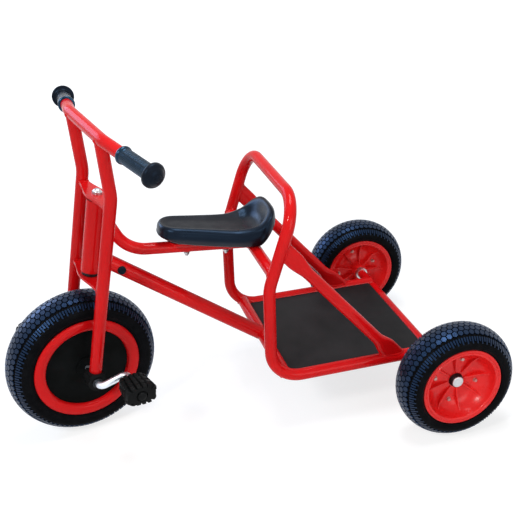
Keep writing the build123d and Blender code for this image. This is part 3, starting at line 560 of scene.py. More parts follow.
def make_grip(side, name):
    """Rubber grip: ribbed barrel with a beaded band, thin inner flange and a stepped end knob."""
    run = BAR_HALF - BAR_BEND_Y
    tip = fork_point(BAR_X - run * tan(BAR_SWEEP), side * BAR_HALF, BAR_Z - run * tan(BAR_DROP))
    inner = fork_point(BAR_X, side * BAR_BEND_Y, BAR_Z)
    along = (inner - tip).normalized()
    place = basis(tip - along * GRIP_PAST_BAR * MM, along, STEER_UP)
    start, end = BARREL
    barrel = [(start + (end - start) * i / GRIP_STATIONS, GRIP_R) for i in range(GRIP_STATIONS + 1)]

    def ribbed(x, r, angle):
        if not start + 0.5 < x < end - 0.5 or r < GRIP_R - 0.1:
            return 0
        depth = -RIB_DEPTH * (1 - smooth_step(cos(RIBS * angle), -0.35, 0.15))
        if cos(angle - pi / 2 * side) > 0.72:
            notch = smooth_step(sin(2 * pi * x / BEAD_PITCH), -0.6, -0.1)
            depth = min(depth, -RIB_DEPTH * (1 - notch))
        return depth

    bm = bmesh.new()
    spin(bm, place, GRIP_KNOB + barrel + GRIP_FLANGE + GRIP_HOLE, RIBS * 6, wave=ribbed)
    to_grip = place.inverted()
    for face in bm.faces:
        face.material_index = (to_grip @ face.calc_center_median()).x < start - 1
    add_piece(f"{name}_ribbed", bm, "fork", [RUBBER, KNOB], replaces=[name],
              angle=50)


for side, name in SIDES:
    make_grip(side, f"{name}_grip")


# --- crank and pedals
CRANK_R = 6.0
ARM_R = 7.6  # forged arm between the axle and the pedal's spindle
ARM_RISE = (102.5, 108)  # where it thickens and thins again, out from the wheel's middle
ARM_FALL = (133, 141)
CRANK_FIT = 0.15  # by which the crank is thinner than the bores that it runs in
CRANK_Y = 117.8
CRANK_THROW = 60.0
CRANK_ANGLE = radians(157)
CRANK_BEND = 12.0
WASHER_Y = BLADE_Y + 17.1  # outer face of the fork end's housing
PEDAL_IN = CRANK_Y + 26.0
PEDAL_LONG = 62.0
PEDAL_HALF = (33.5, 22.5)
PEDAL_ROUND = 3.0  # power of the pedal's rounded outline
PEDAL_TOOTH = 13.0  # pitch of the teeth
PEDAL_GROOVE = 4.2
PEDAL_TREAD = 29  # half width of the toothed part of each tread
PEDAL_FLARE = (0.86, 0.22)  # share of the outline at the inner end, and its gain outwards
PEDAL_STEPS = 240
PEDAL_RIBS = 4
PEDAL_RIB_STEP = 16.0
PEDAL_TILT = {1: 6.0, -1: -12.0}  # degrees, back end down
CRANK_X = CRANK_THROW * cos(CRANK_ANGLE)
CRANK_Z = CRANK_THROW * sin(CRANK_ANGLE)


def rounded_route(corners, bend, steps):
    """Points along straight runs with a round arc at each inner corner."""
    route = [corners[0]]
    for before, corner, after in zip(corners, corners[1:], corners[2:]):
        to_before = (before - corner).normalized()
        to_after = (after - corner).normalized()
        half_angle = to_before.angle(to_after) / 2
        middle = corner + (to_before + to_after).normalized() * bend / sin(half_angle)
        start = corner + to_before * bend / tan(half_angle)
        first = start - middle
        axis = first.cross(corner + to_after * bend / tan(half_angle) - middle).normalized()
        sweep = pi - 2 * half_angle
        for i in range(steps + 1):
            route.append(middle + Matrix.Rotation(sweep * i / steps, 3, axis) @ first)
    return route + [corners[-1]]


def tube_mesh(bm, points, radii, sides):
    """Round solid along points, its radius given at each of them."""
    side_way = Vector((0, 0, 1))
    rings = []
    for i, point in enumerate(points):
        along = (points[min(i + 1, len(points) - 1)] - points[max(i - 1, 0)]).normalized()
        across = (side_way - along * side_way.dot(along)).normalized()
        side_way = across
        other = along.cross(across)
        rings.append([point + (across * cos(2 * pi * k / sides) + other * sin(2 * pi * k / sides))
                      * radii[i] for k in range(sides)])
    prism(bm, rings)


def make_crankshaft():
    """One bent rod through the hub and both pedals, forged thicker at its arms, and two washers."""
    tip = PEDAL_IN + PEDAL_LONG + 3.5
    corners = [Vector((FORK_OFFSET + side * CRANK_X * out, side * y, side * CRANK_Z * out))
               for side, out, y in ((1, 1, tip), (1, 1, CRANK_Y), (1, 0, CRANK_Y),
                                    (-1, 0, CRANK_Y), (-1, 1, CRANK_Y), (-1, 1, tip))]
    route = rounded_route(corners, CRANK_BEND, 8)
    points, radii = [], []
    for start, end in zip(route, route[1:]):
        pieces = max(1, round((end - start).length / 4))
        points += [start.lerp(end, k / pieces) for k in range(pieces)]
    points.append(route[-1])
    for point in points:
        y = abs(point.y)
        arm = smooth_step(y, *ARM_RISE) * (1 - smooth_step(y, *ARM_FALL))
        radii.append(CRANK_R - CRANK_FIT + (ARM_R - CRANK_R) * arm)
    radii[0] = radii[-1] = CRANK_R - 1.2
    bm = bmesh.new()
    tube_mesh(bm, [fork_point(*point) for point in points], [radius * MM for radius in radii], 24)
    add_piece("forged_crankshaft", bm, "front_wheel", [CHROME],
              replaces=["crankshaft"], angle=50)
    bm = bmesh.new()
    for side in (1, -1):
        foot = fork_point(FORK_OFFSET, side * WASHER_Y, 0)
        spin(bm, basis(foot, AXLE_LEFT * side),
             [(0, 6.1), (0, 10.4), (0.7, 11.0), (2.6, 11.0), (3.3, 10.4), (3.3, 6.1)], 40)
    add_piece("axle_washers", bm, "front_wheel", [DARK_STEEL], angle=30)


def pedal_edge(angle):
    """Radius of the pedal's outline: rounded block with broad teeth on both treads."""
    across, up_way = cos(angle), sin(angle)
    edge = (abs(across / PEDAL_HALF[0])**PEDAL_ROUND + abs(up_way / PEDAL_HALF[1])**PEDAL_ROUND)
    edge = edge**(-1 / PEDAL_ROUND)
    x = edge * across
    if abs(x) < PEDAL_TREAD and abs(up_way) > 0.3:
        groove = smooth_step(cos(2 * pi * x / PEDAL_TOOTH), 0.35, 0.9)
        edge -= PEDAL_GROOVE * groove / max(0.6, abs(up_way))
    elif abs(up_way) < 0.28:
        edge -= 2.0
    return edge


def make_pedal(side, name):
    """Rubber-toothed pedal with ribs across it, wider at its outer end, and its dust cap."""
    start = fork_point(FORK_OFFSET + side * CRANK_X, side * PEDAL_IN, side * CRANK_Z)
    outward = AXLE_LEFT * side
    tilt = radians(PEDAL_TILT[side])
    top = Vector((-sin(tilt), 0, cos(tilt)))
    top = (top - outward * top.dot(outward)).normalized()
    place = frame_at(start, outward.cross(top), top, outward)
    bore = CRANK_R + 0.12
    angles = [2 * pi * i / PEDAL_STEPS for i in range(PEDAL_STEPS)]
    stations = [(0.0, 0.80), (1.0, 0.88), (3.0, 0.93)]  # (distance out, share of the outline)
    for rib in range(PEDAL_RIBS):
        at = 7.0 + PEDAL_RIB_STEP * rib
        stations += [(at - 2.6, 0.93), (at - 1.2, 1.0), (at + 7.2, 1.0), (at + 8.6, 0.93)]
    stations = [station for station in stations if station[0] < PEDAL_LONG - 1.5]
    stations += [(PEDAL_LONG - 1.0, 0.90), (PEDAL_LONG, 0.82)]
    outline = [pedal_edge(a) for a in angles]
    loops = [([bore] * PEDAL_STEPS, 0.0)]
    for z, size in stations:
        size *= PEDAL_FLARE[0] + PEDAL_FLARE[1] * z / PEDAL_LONG
        loops.append(([edge * size for edge in outline], z))
    for radius, z in ((12.5, PEDAL_LONG), (11.5, PEDAL_LONG - 2.5), (bore, PEDAL_LONG - 2.5)):
        loops.append(([radius] * PEDAL_STEPS, z))
    bm = bmesh.new()
    skin(bm, [[place @ Vector((r * cos(a), r * sin(a), z)) for r, a in zip(radii, angles)]
              for radii, z in loops], closed=True)
    add_piece(f"{name}_ribbed", bm, f"{name}_body", [BLACK], replaces=[name],
              angle=35)
    bm = bmesh.new()
    spin(bm, basis(start + outward * PEDAL_LONG * MM, outward),
         [(-2.4, 0), (-2.4, 9.8), (1.0, 9.8), (2.6, 9.2), (3.6, 7.4), (4.0, 4.4), (4.1, 0)], 40)
    add_piece(f"{name}_dust_cap", bm, f"{name}_body", [BLACK])


make_crankshaft()
for side, name in SIDES:
    make_pedal(side, f"{name}_pedal")


# --- front rim
FRONT_LIP_R = 116.4
FRONT_BAND_IN_R = 91.1
FRONT_FACE_X = 45.5  # crest of the rolled ring, from the wheel's middle plane
RING_OUT_X = 39.2  # outer and inner edge of the ring
RING_IN_X = 34.0
DISC_X = 30.0
RING_STEPS = 20


def make_front_rim():
    """Red steel rim of the front wheel, each face rolled to a round ring."""
    face = []
    for i in range(RING_STEPS + 1):
        angle = pi * i / RING_STEPS
        r = (FRONT_LIP_R + FRONT_BAND_IN_R) / 2 + (FRONT_LIP_R - FRONT_BAND_IN_R) / 2 * cos(angle)
        edge = RING_OUT_X + (RING_IN_X - RING_OUT_X) * i / RING_STEPS
        face.append((edge + (FRONT_FACE_X - edge) * sin(angle)**0.75, r))
    section = [(RING_OUT_X, 108.4), *face, (DISC_X, FRONT_BAND_IN_R), (DISC_X, 94.0),
               (37.0, 94.0), (37.0, 106.0)]
    section += [(-x, r) for x, r in reversed(section)]
    bm = bmesh.new()
    spin(bm, basis(joint_line("front_wheel_spin")[0], AXLE_LEFT), section, 144)
    add_piece("rolled_front_rim", bm, "front_wheel", [RED], replaces=["front_rim"])


make_front_rim()


# --- seat
FRAME_R = 12.7
SUPPORT_X = 361.9  # cross tube that carries the top tube behind
SUPPORT_Z = 384.0
HEAD_LOW = 213.0  # lower end of the head tube on the steering axis
TOP_FRONT = head_point(HEAD_LOW + 144.6)
TOP_KNEE = TOP_FRONT - Vector((51.7, 0, 108.3)) * MM
TOP_REAR = frame_point(SUPPORT_X, 0, SUPPORT_Z)
top_run = (TOP_KNEE - TOP_REAR).normalized()
top_down = Vector((top_run.z, 0, -top_run.x))

SEAT_BACK_X = 312.0
SEAT_LONG = 250.0
# Half width and heights above the floor, by the distance from the seat's back edge.
SEAT_WIDTH = [(0, 75), (24, 72), (45, 69.2), (98, 57.5), (160, 48.7), (222, 42.5), (250, 39.5)]
SEAT_RIM = [(0, 472), (9, 473), (24, 461), (45, 445), (75, 438), (98, 438), (160, 447.5),
            (222, 457), (250, 459)]
SEAT_PAN = [(0, 465), (8, 456), (24, 439), (45, 429.5), (70, 428), (98, 431), (160, 441.5),
            (222, 452.5), (250, 456)]
SEAT_BASE = [(0, 411), (24, 402), (45, 398), (98, 399.5), (160, 408.5), (222, 421), (250, 427)]
SEAT_SPINE = (62.0, 214.0)  # ends of the line that the outlines shrink to
SEAT_ROUNDS = ((46.0, 2.3), (42.0, 2.5))  # length and power of its outline's round back and nose
SEAT_TOP_LOOPS = [0.0, 0.12, 0.25, 0.38, 0.5, 0.6, 0.68, 0.74, 0.78, 0.82, 0.86, 0.9, 0.935, 0.965,
                  0.985, 0.996, 1.0]  # shares of the outline, from the spine to the edge
SEAT_SIDE_LOOPS = [0.06, 0.14, 0.25, 0.4, 0.55, 0.7, 0.82, 0.91, 0.97, 1.0]  # down the side
SEAT_UNDER_LOOPS = [0.84, 0.70, 0.52, 0.49, 0.25, 0.0]
SEAT_RIB = 0.5  # share of the outline inside which the underside meets the plate
SEAT_ROLL = 0.74  # share of the outline from which the top rolls down to the edge
SEAT_WALL = 6.5
PAN_LOOPS = 7  # loops of the grained pan, which ends before the scoop
PAN_BACK = 66
PLATE_LIFT = FRAME_R + 4.2  # top of the bracket's plate above the top tube's middle line


def curve_at(table, x):
    """Smooth curve through a table of (x, value) points."""
    x = min(max(x, table[0][0]), table[-1][0])
    index = 0
    while index < len(table) - 2 and x > table[index + 1][0]:
        index += 1
    (x0, v0), (x1, v1) = table[index], table[index + 1]
    before = table[index - 1] if index else (2 * x0 - x1, 2 * v0 - v1)
    after = table[index + 2] if index + 2 < len(table) else (2 * x1 - x0, 2 * v1 - v0)
    span = x1 - x0
    slope0 = (v1 - before[1]) / (x1 - before[0]) * span
    slope1 = (after[1] - v0) / (after[0] - x0) * span
    t = (x - x0) / span
    return ((2 * t**3 - 3 * t**2 + 1) * v0 + (t**3 - 2 * t**2 + t) * slope0
            + (3 * t**2 - 2 * t**3) * v1 + (t**3 - t**2) * slope1)


def seat_outline(steps):
    """Plan of the seat, as (distance from its back edge, distance left of the middle)."""
    half = []
    for i in range(steps + 1):
        turn = pi * i / steps
        x = SEAT_LONG / 2 * (1 - cos(turn))
        width = curve_at(SEAT_WIDTH, x)
        for (long, power), gap in zip(SEAT_ROUNDS, (x, SEAT_LONG - x)):
            if gap < long:
                width *= max(0, 1 - (1 - gap / long)**power)**(1 / power)
        half.append((x, width))
    return half + [(x, -y) for x, y in reversed(half[1:-1])]


def make_seat():
    """Moulded saddle: flat grained pan, rolled edge, raised scoop behind and a hollow underside."""
    outline = seat_outline(72)

    def on_spine(x):
        return min(max(x, SEAT_SPINE[0]), SEAT_SPINE[1])

    def spot(x, y, size):
        return on_spine(x) + (x - on_spine(x)) * size, y * size

    def top_height(x, size):
        pan, rim = curve_at(SEAT_PAN, x), curve_at(SEAT_RIM, x)
        roll = max(0, size - SEAT_ROLL) / (1 - SEAT_ROLL)
        drop = (11.0 + 6 * smooth_step(x, 215, 245)) * (1 - sqrt(max(0, 1 - roll**2)))
        return pan + (rim - pan) * smooth_step(size, 0.45, 0.80) - drop

    rings = []
    for size in SEAT_TOP_LOOPS:
        places = [spot(x, y, size) for x, y in outline]
        rings.append([(x, y, top_height(x, size)) for x, y in places])
    for down in SEAT_SIDE_LOOPS:
        ring = []
        for x, y in outline:
            edge = top_height(x, 1.0)
            inset = 10.0 + 10 * smooth_step(x, 60, 0) + 2 * smooth_step(x, 205, 250)
            reach = max(1.0, sqrt((x - on_spine(x))**2 + y**2))
            size = 1 - inset / reach * down**3.0 + 1.8 / reach * sin(pi * min(1, down * 1.5))
            ring.append((*spot(x, y, size), edge + (curve_at(SEAT_BASE, x) - edge) * down))
        rings.append(ring)
    lip = rings[-1]
    for size, lift in ((0.93, 0.6), (0.91, 6.0)):
        rings.append([(*spot(x, y, size), z + lift) for x, y, z in lip])
    for size in SEAT_UNDER_LOOPS:
        ring = []
        for x, y in outline:
            at, across = spot(x, y, size)
            height = top_height(at, size) - SEAT_WALL
            if size < SEAT_RIB:
                tube_z = SUPPORT_Z + (SEAT_BACK_X + at - SUPPORT_X) * top_run.z / top_run.x
                height = min(height, tube_z + PLATE_LIFT / top_run.x)
            ring.append((at, across, height))
        rings.append(ring)
    bm = bmesh.new()
    skin(bm, [[frame_point(SEAT_BACK_X + x, y, z) for x, y, z in ring] for ring in rings])
    # Pan faces before the scoop take SEAT_TOP, whose lighter grey is painted light on the top.
    for index, face in enumerate(bm.faces):
        row, k = divmod(index, len(outline))
        face.material_index = row < PAN_LOOPS and rings[row][k][0] > PAN_BACK
    bmesh.ops.remove_doubles(bm, verts=bm.verts, dist=0.02 * MM)
    loose = [face for face in bm.faces if face.calc_area() < 1e-12]
    bmesh.ops.delete(bm, geom=loose, context="FACES")
    add_piece("moulded_seat", bm, "frame", [SEAT, SEAT_TOP], replaces=["seat"],
              angle=60)


make_seat()


# --- rear rims
REAR_TRACK = 561.0
COLLAR_OUT = 6.6  # collar of each axle cap, past the rear wheel's middle plane
AXLE_ROD_R = 7.0
AXLE_BORE = AXLE_ROD_R + 0.3
WEB_HALF = 4.0
RIM_FIRST_RIB = {1: 6.0, -1: -54.0}  # degrees, forward round and up
RIM_RIBS = 8
CAP_R = 12.5  # domed cap on each end of the axle
CAP_BORE = CAP_R + 0.05


def arc_points(start, middle, end, steps):
    """Points along a smooth quadratic curve pulled towards its middle point, after its start."""
    return [tuple(a * (1 - t)**2 + 2 * b * t * (1 - t) + c * t * t
                  for a, b, c in zip(start, middle, end))
            for t in (i / steps for i in range(1, steps + 1))]


def make_rear_rim(side, name):
    """Moulded rim: flat lip with a fine groove, deep bowl, thin ribs, web and hub on both faces."""
    place = basis(joint_line(f"{name}_rear_wheel_spin")[0], Vector((0, side, 0)))
    lip_edge, bowl_edge, web_edge = (39.4, 79.6), (36.0, 76.2), (WEB_HALF + 0.4, 47.0)
    bowl = [(36.9, 80.9), (36.9, 88.9), (38.5, 88.9), (39.3, 88.3), (39.4, 87.2), (39.4, 84.4),
            (38.7, 83.9), (38.7, 83.2), (39.4, 82.7), lip_edge]
    bowl += arc_points(lip_edge, (39.3, 77.2), bowl_edge, 6)
    bowl += arc_points(bowl_edge, (9.0, 66.0), web_edge, 18)
    outer = bowl + arc_points(web_edge, (WEB_HALF, 30.0), (6.0, 22.0), 8)
    outer += [(6.3, 20.5), (6.3, AXLE_BORE)]
    inner = bowl + arc_points(web_edge, (WEB_HALF + 2, 26.0), (22.0, 18.5), 10)
    inner += [(39.4, 17.0), (39.9, 16.4), (39.9, AXLE_BORE)]
    section = outer + [(-x, r) for x, r in reversed(inner)]
    bm = bmesh.new()
    spin(bm, place, section, 120)
    for face, hub_r, hub_x, end_x in ((1, 19.0, 9.0, 20.0), (-1, 18.0, 23.0, 19.0)):
        for rib in range(RIM_RIBS):
            turn = radians(RIM_FIRST_RIB[side] + 360 / RIM_RIBS * rib) * side
            radial = Vector((0, cos(turn), sin(turn)))
            across = Vector((0, -sin(turn), cos(turn)))
            rings = []
            for r, top in ((hub_r, hub_x), (34.0, hub_x * 0.7 + end_x * 0.3 - 1), (50.0, 13.5),
                           (62.0, 17.0), (70.5, 23.5)):
                rings.append([place @ (radial * r + across * wide + Vector((face * x, 0, 0)))
                              for x, wide in ((2.0, -2.2), (top - 0.6, -1.5), (top, -0.9),
                                              (top, 0.9), (top - 0.6, 1.5), (2.0, 2.2))])
            prism(bm, rings)
    add_piece(f"{name}_rear_rim_moulding", bm, f"{name}_rear_wheel", [RED_PLASTIC],
              replaces=[f"{name}_rear_rim"], angle=38)


for side, name in SIDES:
    make_rear_rim(side, name)

bm = bmesh.new()
for side in (1, -1):
    at = frame_point(0, side * (REAR_TRACK / 2 + COLLAR_OUT), AXLE_Z)
    spin(bm, basis(at, Vector((0, side, 0))),
         [(0, CAP_BORE), (0, 15.6), (1.2, 16.0), (2.4, 15.2), (8.6, 14.0), (9.4, 13.4),
          (9.4, CAP_BORE)], 56)
add_piece("hub_cap_collars", bm, "frame", [DARK_STEEL], angle=35)


# --- bolts and nuts
WASHER_THICK = 1.5


def hexagon_ring(matrix, x, flats, chamfer=0.0):
    """Six corners at a distance along local X, drawn in a little at a chamfer."""
    radius = flats / sqrt(3) * (1 - chamfer)
    return [matrix @ Vector((x, radius * cos(pi * k / 3), radius * sin(pi * k / 3)))
            for k in range(6)]


def add_nut(bm, matrix, thick, flats, washer, shank, shank_r):
    """Hexagon on a washer, with the round end of its bolt standing out past it."""
    spin(bm, matrix, [(0, 0), (0, washer - 0.3), (0.3, washer), (WASHER_THICK - 0.3, washer),
                      (WASHER_THICK, washer - 0.3), (WASHER_THICK, 0)], 28)
    top = WASHER_THICK + thick
    prism(bm, [hexagon_ring(matrix, WASHER_THICK - 0.2, flats),
               hexagon_ring(matrix, top - 0.9, flats), hexagon_ring(matrix, top, flats, 0.1)])
    if shank:
        spin(bm, matrix, [(WASHER_THICK, 0), (WASHER_THICK, shank_r), (top + shank - 0.6, shank_r),
                          (top + shank, shank_r - 0.6), (top + shank, 0)], 20)


BOLT_CIRCLE = 49.5
BOLT_ANGLE = {1: -75.6, -1: -103.0}  # first bolt of each rear wheel, from forward upwards
BOLT_FLATS = 7.4
SEAT_BOLTS_X = (416.0, 502.0)
for side, name in SIDES:
    centre = joint_line(f"{name}_rear_wheel_spin")[0]
    bm = bmesh.new()
    for quarter in range(4):
        turn = radians(BOLT_ANGLE[side] + 90 * quarter)
        seat_at = centre + Vector((cos(turn), 0, sin(turn))) * BOLT_CIRCLE * MM
        for face, thick, shank in ((1, 3.6, 0), (-1, 4.2, 2.5)):  # bolt's head and its nut
            outward = Vector((0, side * face, 0))
            matrix = basis(seat_at + outward * (WEB_HALF - 0.1) * MM, outward)
            add_nut(bm, matrix, thick, BOLT_FLATS, 5.0, shank, 2.2)
    add_piece(f"{name}_rear_wheel_bolts", bm, f"{name}_rear_wheel", [BOLT_STEEL],
              angle=30)

bm = bmesh.new()
for x in SEAT_BOLTS_X:
    at = TOP_REAR + top_run * (x - SUPPORT_X) / top_run.x * MM
    matrix = basis(at + top_down * (FRAME_R - 0.2) * MM, top_down, top_run)
    add_nut(bm, matrix, 5.0, 10.0, 7.0, 3.5, 3.0)
add_piece("seat_bolts", bm, "frame", [ZINC], angle=30)


# --- weld beads
JOINT_STEPS = 56


def bead(bm, points, outward, radius, closed=True):
    """Rippled bead along a curve; outward gives each point's direction off the joint."""
    rings = []
    count = len(points)
    for i, point in enumerate(points):
        ahead = points[(i + 1) % count] if closed or i + 1 < count else point
        behind = points[i - 1] if closed or i else point
        tangent = (ahead - behind).normalized()
        across = tangent.cross(outward[i]).normalized()
        off = across.cross(tangent)
        size = radius * (1 + 0.14 * cos(pi * i))
        rings.append([point + (across * cos(pi * k / 4) + off * sin(pi * k / 4)) * size
                      for k in range(8)])
    if closed:
        skin(bm, rings, closed=True)
    else:
        prism(bm, rings)


def joint_bead(bm, start, along, size, run_at, run_along, run_r, radius=1.7):
    """Bead where a tube or flattened tube meets the round tube it is welded to.

    start, along and size give the tube that ends there, run_at, run_along and run_r the other.
    """
    along = along.normalized()
    run_along = run_along.normalized()
    side_way = along.cross(run_along).normalized()
    length_way = side_way.cross(along)

    def across_run(way):
        return way - run_along * way.dot(run_along)

    points, outward = [], []
    for i in range(JOINT_STEPS):
        angle = 2 * pi * i / JOINT_STEPS
        off = side_way * size[0] * cos(angle) + length_way * size[1] * sin(angle)
        foot = start + off * MM
        gap, way = across_run(foot - run_at), across_run(along)
        a, b, c = way.dot(way), gap.dot(way), gap.dot(gap) - (run_r * MM)**2
        point = foot + along * (-b / a + sqrt(max(0, b * b - a * c)) / a)
        face = across_run(point - run_at)
        points.append(point)
        outward.append((off.normalized() + face.normalized()).normalized())
    bead(bm, points, outward, radius * MM)


HOOP_X = 372.0  # hoop's legs up to their knee, then on to its top
KNEE_Z = 353.5
HOOP_TOP_X = 311.5
HOOP_TOP_Z = 536.0
RAIL_Y = 171.0
RAIL_Z = 136.5
STAY_TOP_Z = 440.5
STAY_TOP_X = HOOP_X + (HOOP_TOP_X - HOOP_X) * (STAY_TOP_Z - KNEE_Z) / (HOOP_TOP_Z - KNEE_Z)
STAY_LOW_X = 85.0
STAY_TOP_SIZE = (8.8, 18.5)  # flattened ends of the stays: half thickness, half width
STAY_FOOT_SIZE = (8.5, 21.0)
STAY_TOP_LONG = 88.0
STAY_FOOT_LONG = 75.0
STAY_STEP = 8
STAY_SIDES = 48
FRONT_RAIL_X = 343.0  # front tube of the platform's frame
FRONT_RAIL_Z = 148.1
HOOP_WAY = Vector((0.823, 0, 0.569))  # run of the hoop's bend at that tube
HEAD_TUBE_R = 20.0
DOWN_TUBE_R = 15.9
WELD_R = 1.4  # bead round the fork's blades
WELD_TURN = 62  # degrees that it reaches to each side
WELD_STEPS = 20
round_tube = (FRAME_R,) * 2
left_way = Vector((0, 1, 0))


def stay_ends(side):
    """Upper and lower end of a stay's middle line."""
    return (frame_point(STAY_TOP_X, side * RAIL_Y, STAY_TOP_Z),
            frame_point(STAY_LOW_X, side * RAIL_Y, RAIL_Z))


def make_stay(side, name):
    """Diagonal stay: round tube pressed flat at both of its ends."""
    top, foot = stay_ends(side)
    along = (foot - top).normalized()
    wide_way = along.cross(left_way)
    length = (foot - top).length / MM
    stations = [STAY_STEP * i for i in range(int(length / STAY_STEP) + 1)] + [length]
    rings = []
    for at in stations:
        high = 1 - smooth_step(at, STAY_TOP_LONG * 0.45, STAY_TOP_LONG)
        low = 1 - smooth_step(length - at, STAY_FOOT_LONG * 0.45, STAY_FOOT_LONG)
        thick, wide = (FRAME_R + (upper - FRAME_R) * high + (lower - FRAME_R) * low
                       for upper, lower in zip(STAY_TOP_SIZE, STAY_FOOT_SIZE))
        power = 1 - 0.22 * max(high, low)
        ring = []
        for k in range(STAY_SIDES):
            c, d = cos(2 * pi * k / STAY_SIDES), sin(2 * pi * k / STAY_SIDES)
            across = abs(c)**power * (1 if c > 0 else -1) * thick
            over = abs(d)**power * (1 if d > 0 else -1) * wide
            ring.append(top + along * at * MM + (left_way * across + wide_way * over) * MM)
        rings.append(ring)
    bm = bmesh.new()
    prism(bm, rings)
    add_piece(f"{name}_pressed", bm, "frame", [RED], replaces=[name], angle=60)


for side, name in SIDES:
    make_stay(side, f"{name}_stay")

bm = bmesh.new()
for side in (1, -1):
    knee = frame_point(HOOP_X, side * RAIL_Y, KNEE_Z)
    leg = frame_point(HOOP_TOP_X, side * RAIL_Y, HOOP_TOP_Z) - knee
    joint_bead(bm, frame_point(SUPPORT_X, side * RAIL_Y, SUPPORT_Z), -side * left_way, round_tube,
               knee, leg, FRAME_R)
    top, foot = stay_ends(side)
    joint_bead(bm, top, foot - top, STAY_TOP_SIZE, knee, leg, FRAME_R)
    joint_bead(bm, foot, top - foot, STAY_FOOT_SIZE, foot, Vector((1, 0, 0)), FRAME_R, radius=2.0)
    rail = frame_point(FRONT_RAIL_X, side * RAIL_Y, FRONT_RAIL_Z)
    joint_bead(bm, rail, -side * left_way, round_tube, rail, HOOP_WAY, FRAME_R)
down_front = head_point(HEAD_LOW + 38.0)
down_rear = frame_point(FRONT_RAIL_X, 0, FRONT_RAIL_Z)
joint_bead(bm, down_front, down_rear - down_front, (DOWN_TUBE_R,) * 2, STEER_FOOT, STEER_UP,
           HEAD_TUBE_R)
joint_bead(bm, TOP_FRONT, TOP_KNEE - TOP_FRONT, round_tube, STEER_FOOT, STEER_UP, HEAD_TUBE_R)
joint_bead(bm, TOP_REAR, top_run, round_tube, TOP_REAR, left_way, FRAME_R)
add_piece("frame_welds", bm, "frame", [RED], angle=60)

bm = bmesh.new()
for side in (1, -1):
    blade_top = fork_point(BAR_X, side * BLADE_Y, BAR_Z)
    blade_kink = fork_point(FORK_OFFSET, side * BLADE_Y, BLADE_KINK)
    joint_bead(bm, blade_top, blade_kink - blade_top, (BLADE_R,) * 2, blade_top, AXLE_LEFT, BAR_R)
    for z in (LOWER_CROWN_Z, LOWER_CROWN_Z - CROWN_THICK, UPPER_CROWN_Z,
              UPPER_CROWN_Z + CROWN_THICK):
        points, outward = [], []
        for i in range(WELD_STEPS + 1):
            turn = radians(WELD_TURN * (2 * i / WELD_STEPS - 1))
            way = AXLE_LEFT * -side * cos(turn) + FORK_AHEAD * sin(turn)
            points.append(fork_point(FORK_OFFSET, side * BLADE_Y, z) + way * (BLADE_R + 0.2) * MM)
            outward.append(way)
        bead(bm, points, outward, WELD_R * MM, closed=False)
add_piece("fork_welds", bm, "fork", [RED], angle=60)


# --- camera
CAMERA_AT = (810.8, 1678.8, 1198.15)  # ahead of the rear axle, left of the middle and up
CAMERA_VIEW = Vector((-0.2414, -0.8632, -0.4434)).normalized()
CAMERA_ROLL = -0.03246  # radians
camera_data = bpy.data.cameras.new("camera")
camera_data.lens = 61.1
camera_data.sensor_width = 36
camera_data.clip_end = 50
camera = bpy.data.objects.new("camera", camera_data)
scene.collection.objects.link(camera)
level = CAMERA_VIEW.cross(Vector((0, 0, 1))).normalized()
upright = level.cross(CAMERA_VIEW)
right = level * cos(CAMERA_ROLL) + upright * sin(CAMERA_ROLL)
up = upright * cos(CAMERA_ROLL) - level * sin(CAMERA_ROLL)
camera.matrix_world = frame_at(frame_point(*CAMERA_AT), right, up, -CAMERA_VIEW, 1)
scene.camera = camera


# --- floor and light
SKY = (0.90, 0.95, 1.0, 1)  # light of the studio's room on the tricycle
SKY_STRENGTH = 0.27
WHITE = (1, 1, 1, 1)
FLOOR_SHADE = (0.36, 0.36, 0.36, 1)  # part of the floor's look that takes the shadow
GLOW = (0.74, 1.0)  # its own light, under the tricycle and far off
GLOW_REACH = (0.9, 2.6)  # metres from the middle between which it rises

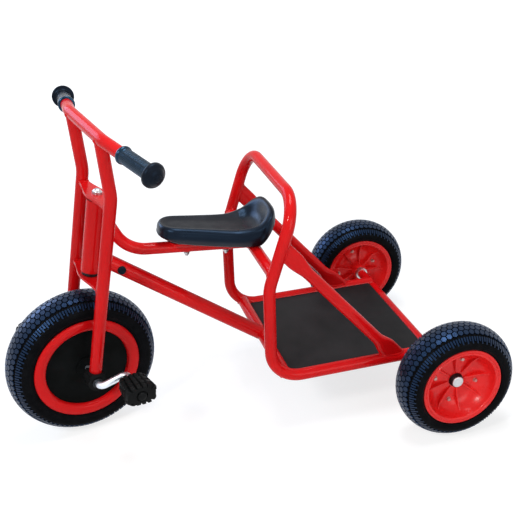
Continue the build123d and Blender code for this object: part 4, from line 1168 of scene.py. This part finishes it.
scene.view_settings.view_transform = "Standard"
scene.world = bpy.data.worlds.new("studio")
w = Nodes(scene.world)
seen = w.new("ShaderNodeBackground")
seen.inputs[0].default_value = WHITE
lit = w.new("ShaderNodeBackground")
lit.inputs[0].default_value = SKY
lit.inputs[1].default_value = SKY_STRENGTH
w.mix(lit.outputs[0], seen.outputs[0], w.new("ShaderNodeOutputWorld"))

bpy.ops.mesh.primitive_plane_add(size=24, location=(0, 0, -0.0004))
floor = bpy.context.object
floor.name = "floor"
f = Material("studio_floor")
f.fixed(Roughness=0.9)
f.colour(f.ramp(f.noise(3, 2), [(0.3, (0.79,)), (0.7, (0.81,))]))
glow = f.new("ShaderNodeEmission")
glow.inputs[0].default_value = WHITE
reach = f.new("ShaderNodeVectorMath", operation="LENGTH")
f.link(f.place, reach.inputs[0])
f.link(f.span(reach.outputs["Value"], *GLOW, *GLOW_REACH), glow.inputs[1])
dark = f.new("ShaderNodeBsdfDiffuse")
dark.inputs[0].default_value = FLOOR_SHADE
plus = f.new("ShaderNodeAddShader")
f.link(dark.outputs[0], plus.inputs[0])
f.link(glow.outputs[0], plus.inputs[1])
f.mix(f.shader.outputs[0], plus.outputs[0], f.out)
floor.data.materials.append(f.material)


def lamp(name, place, target, size, power, colour):
    """Soft rectangular studio lamp aimed at a point."""
    data = bpy.data.lights.new(name, "AREA")
    data.shape = "RECTANGLE"
    data.size, data.size_y = size
    data.energy = power
    data.color = colour
    holder = bpy.data.objects.new(name, data)
    scene.collection.objects.link(holder)
    holder.location = place
    holder.rotation_euler = (Vector(target) - Vector(place)).to_track_quat("-Z", "Y").to_euler()


lamp("key", (1.9, 1.5, 2.2), (0, 0, 0.25), (0.5, 0.5), 39, (1.0, 0.98, 0.95))
lamp("overhead", (-0.2, 0.1, 2.7), (0, 0, 0.2), (1.3, 0.9), 40, (0.97, 0.98, 1.0))
lamp("window", (1.8, -2.1, 1.6), (0, 0, 0.3), (1.9, 1.5), 42, (0.46, 0.66, 1.0))
lamp("fill", (-0.9, 2.3, 1.0), (-0.1, 0, 0.2), (1.6, 1.2), 17, (1.0, 0.98, 0.96))
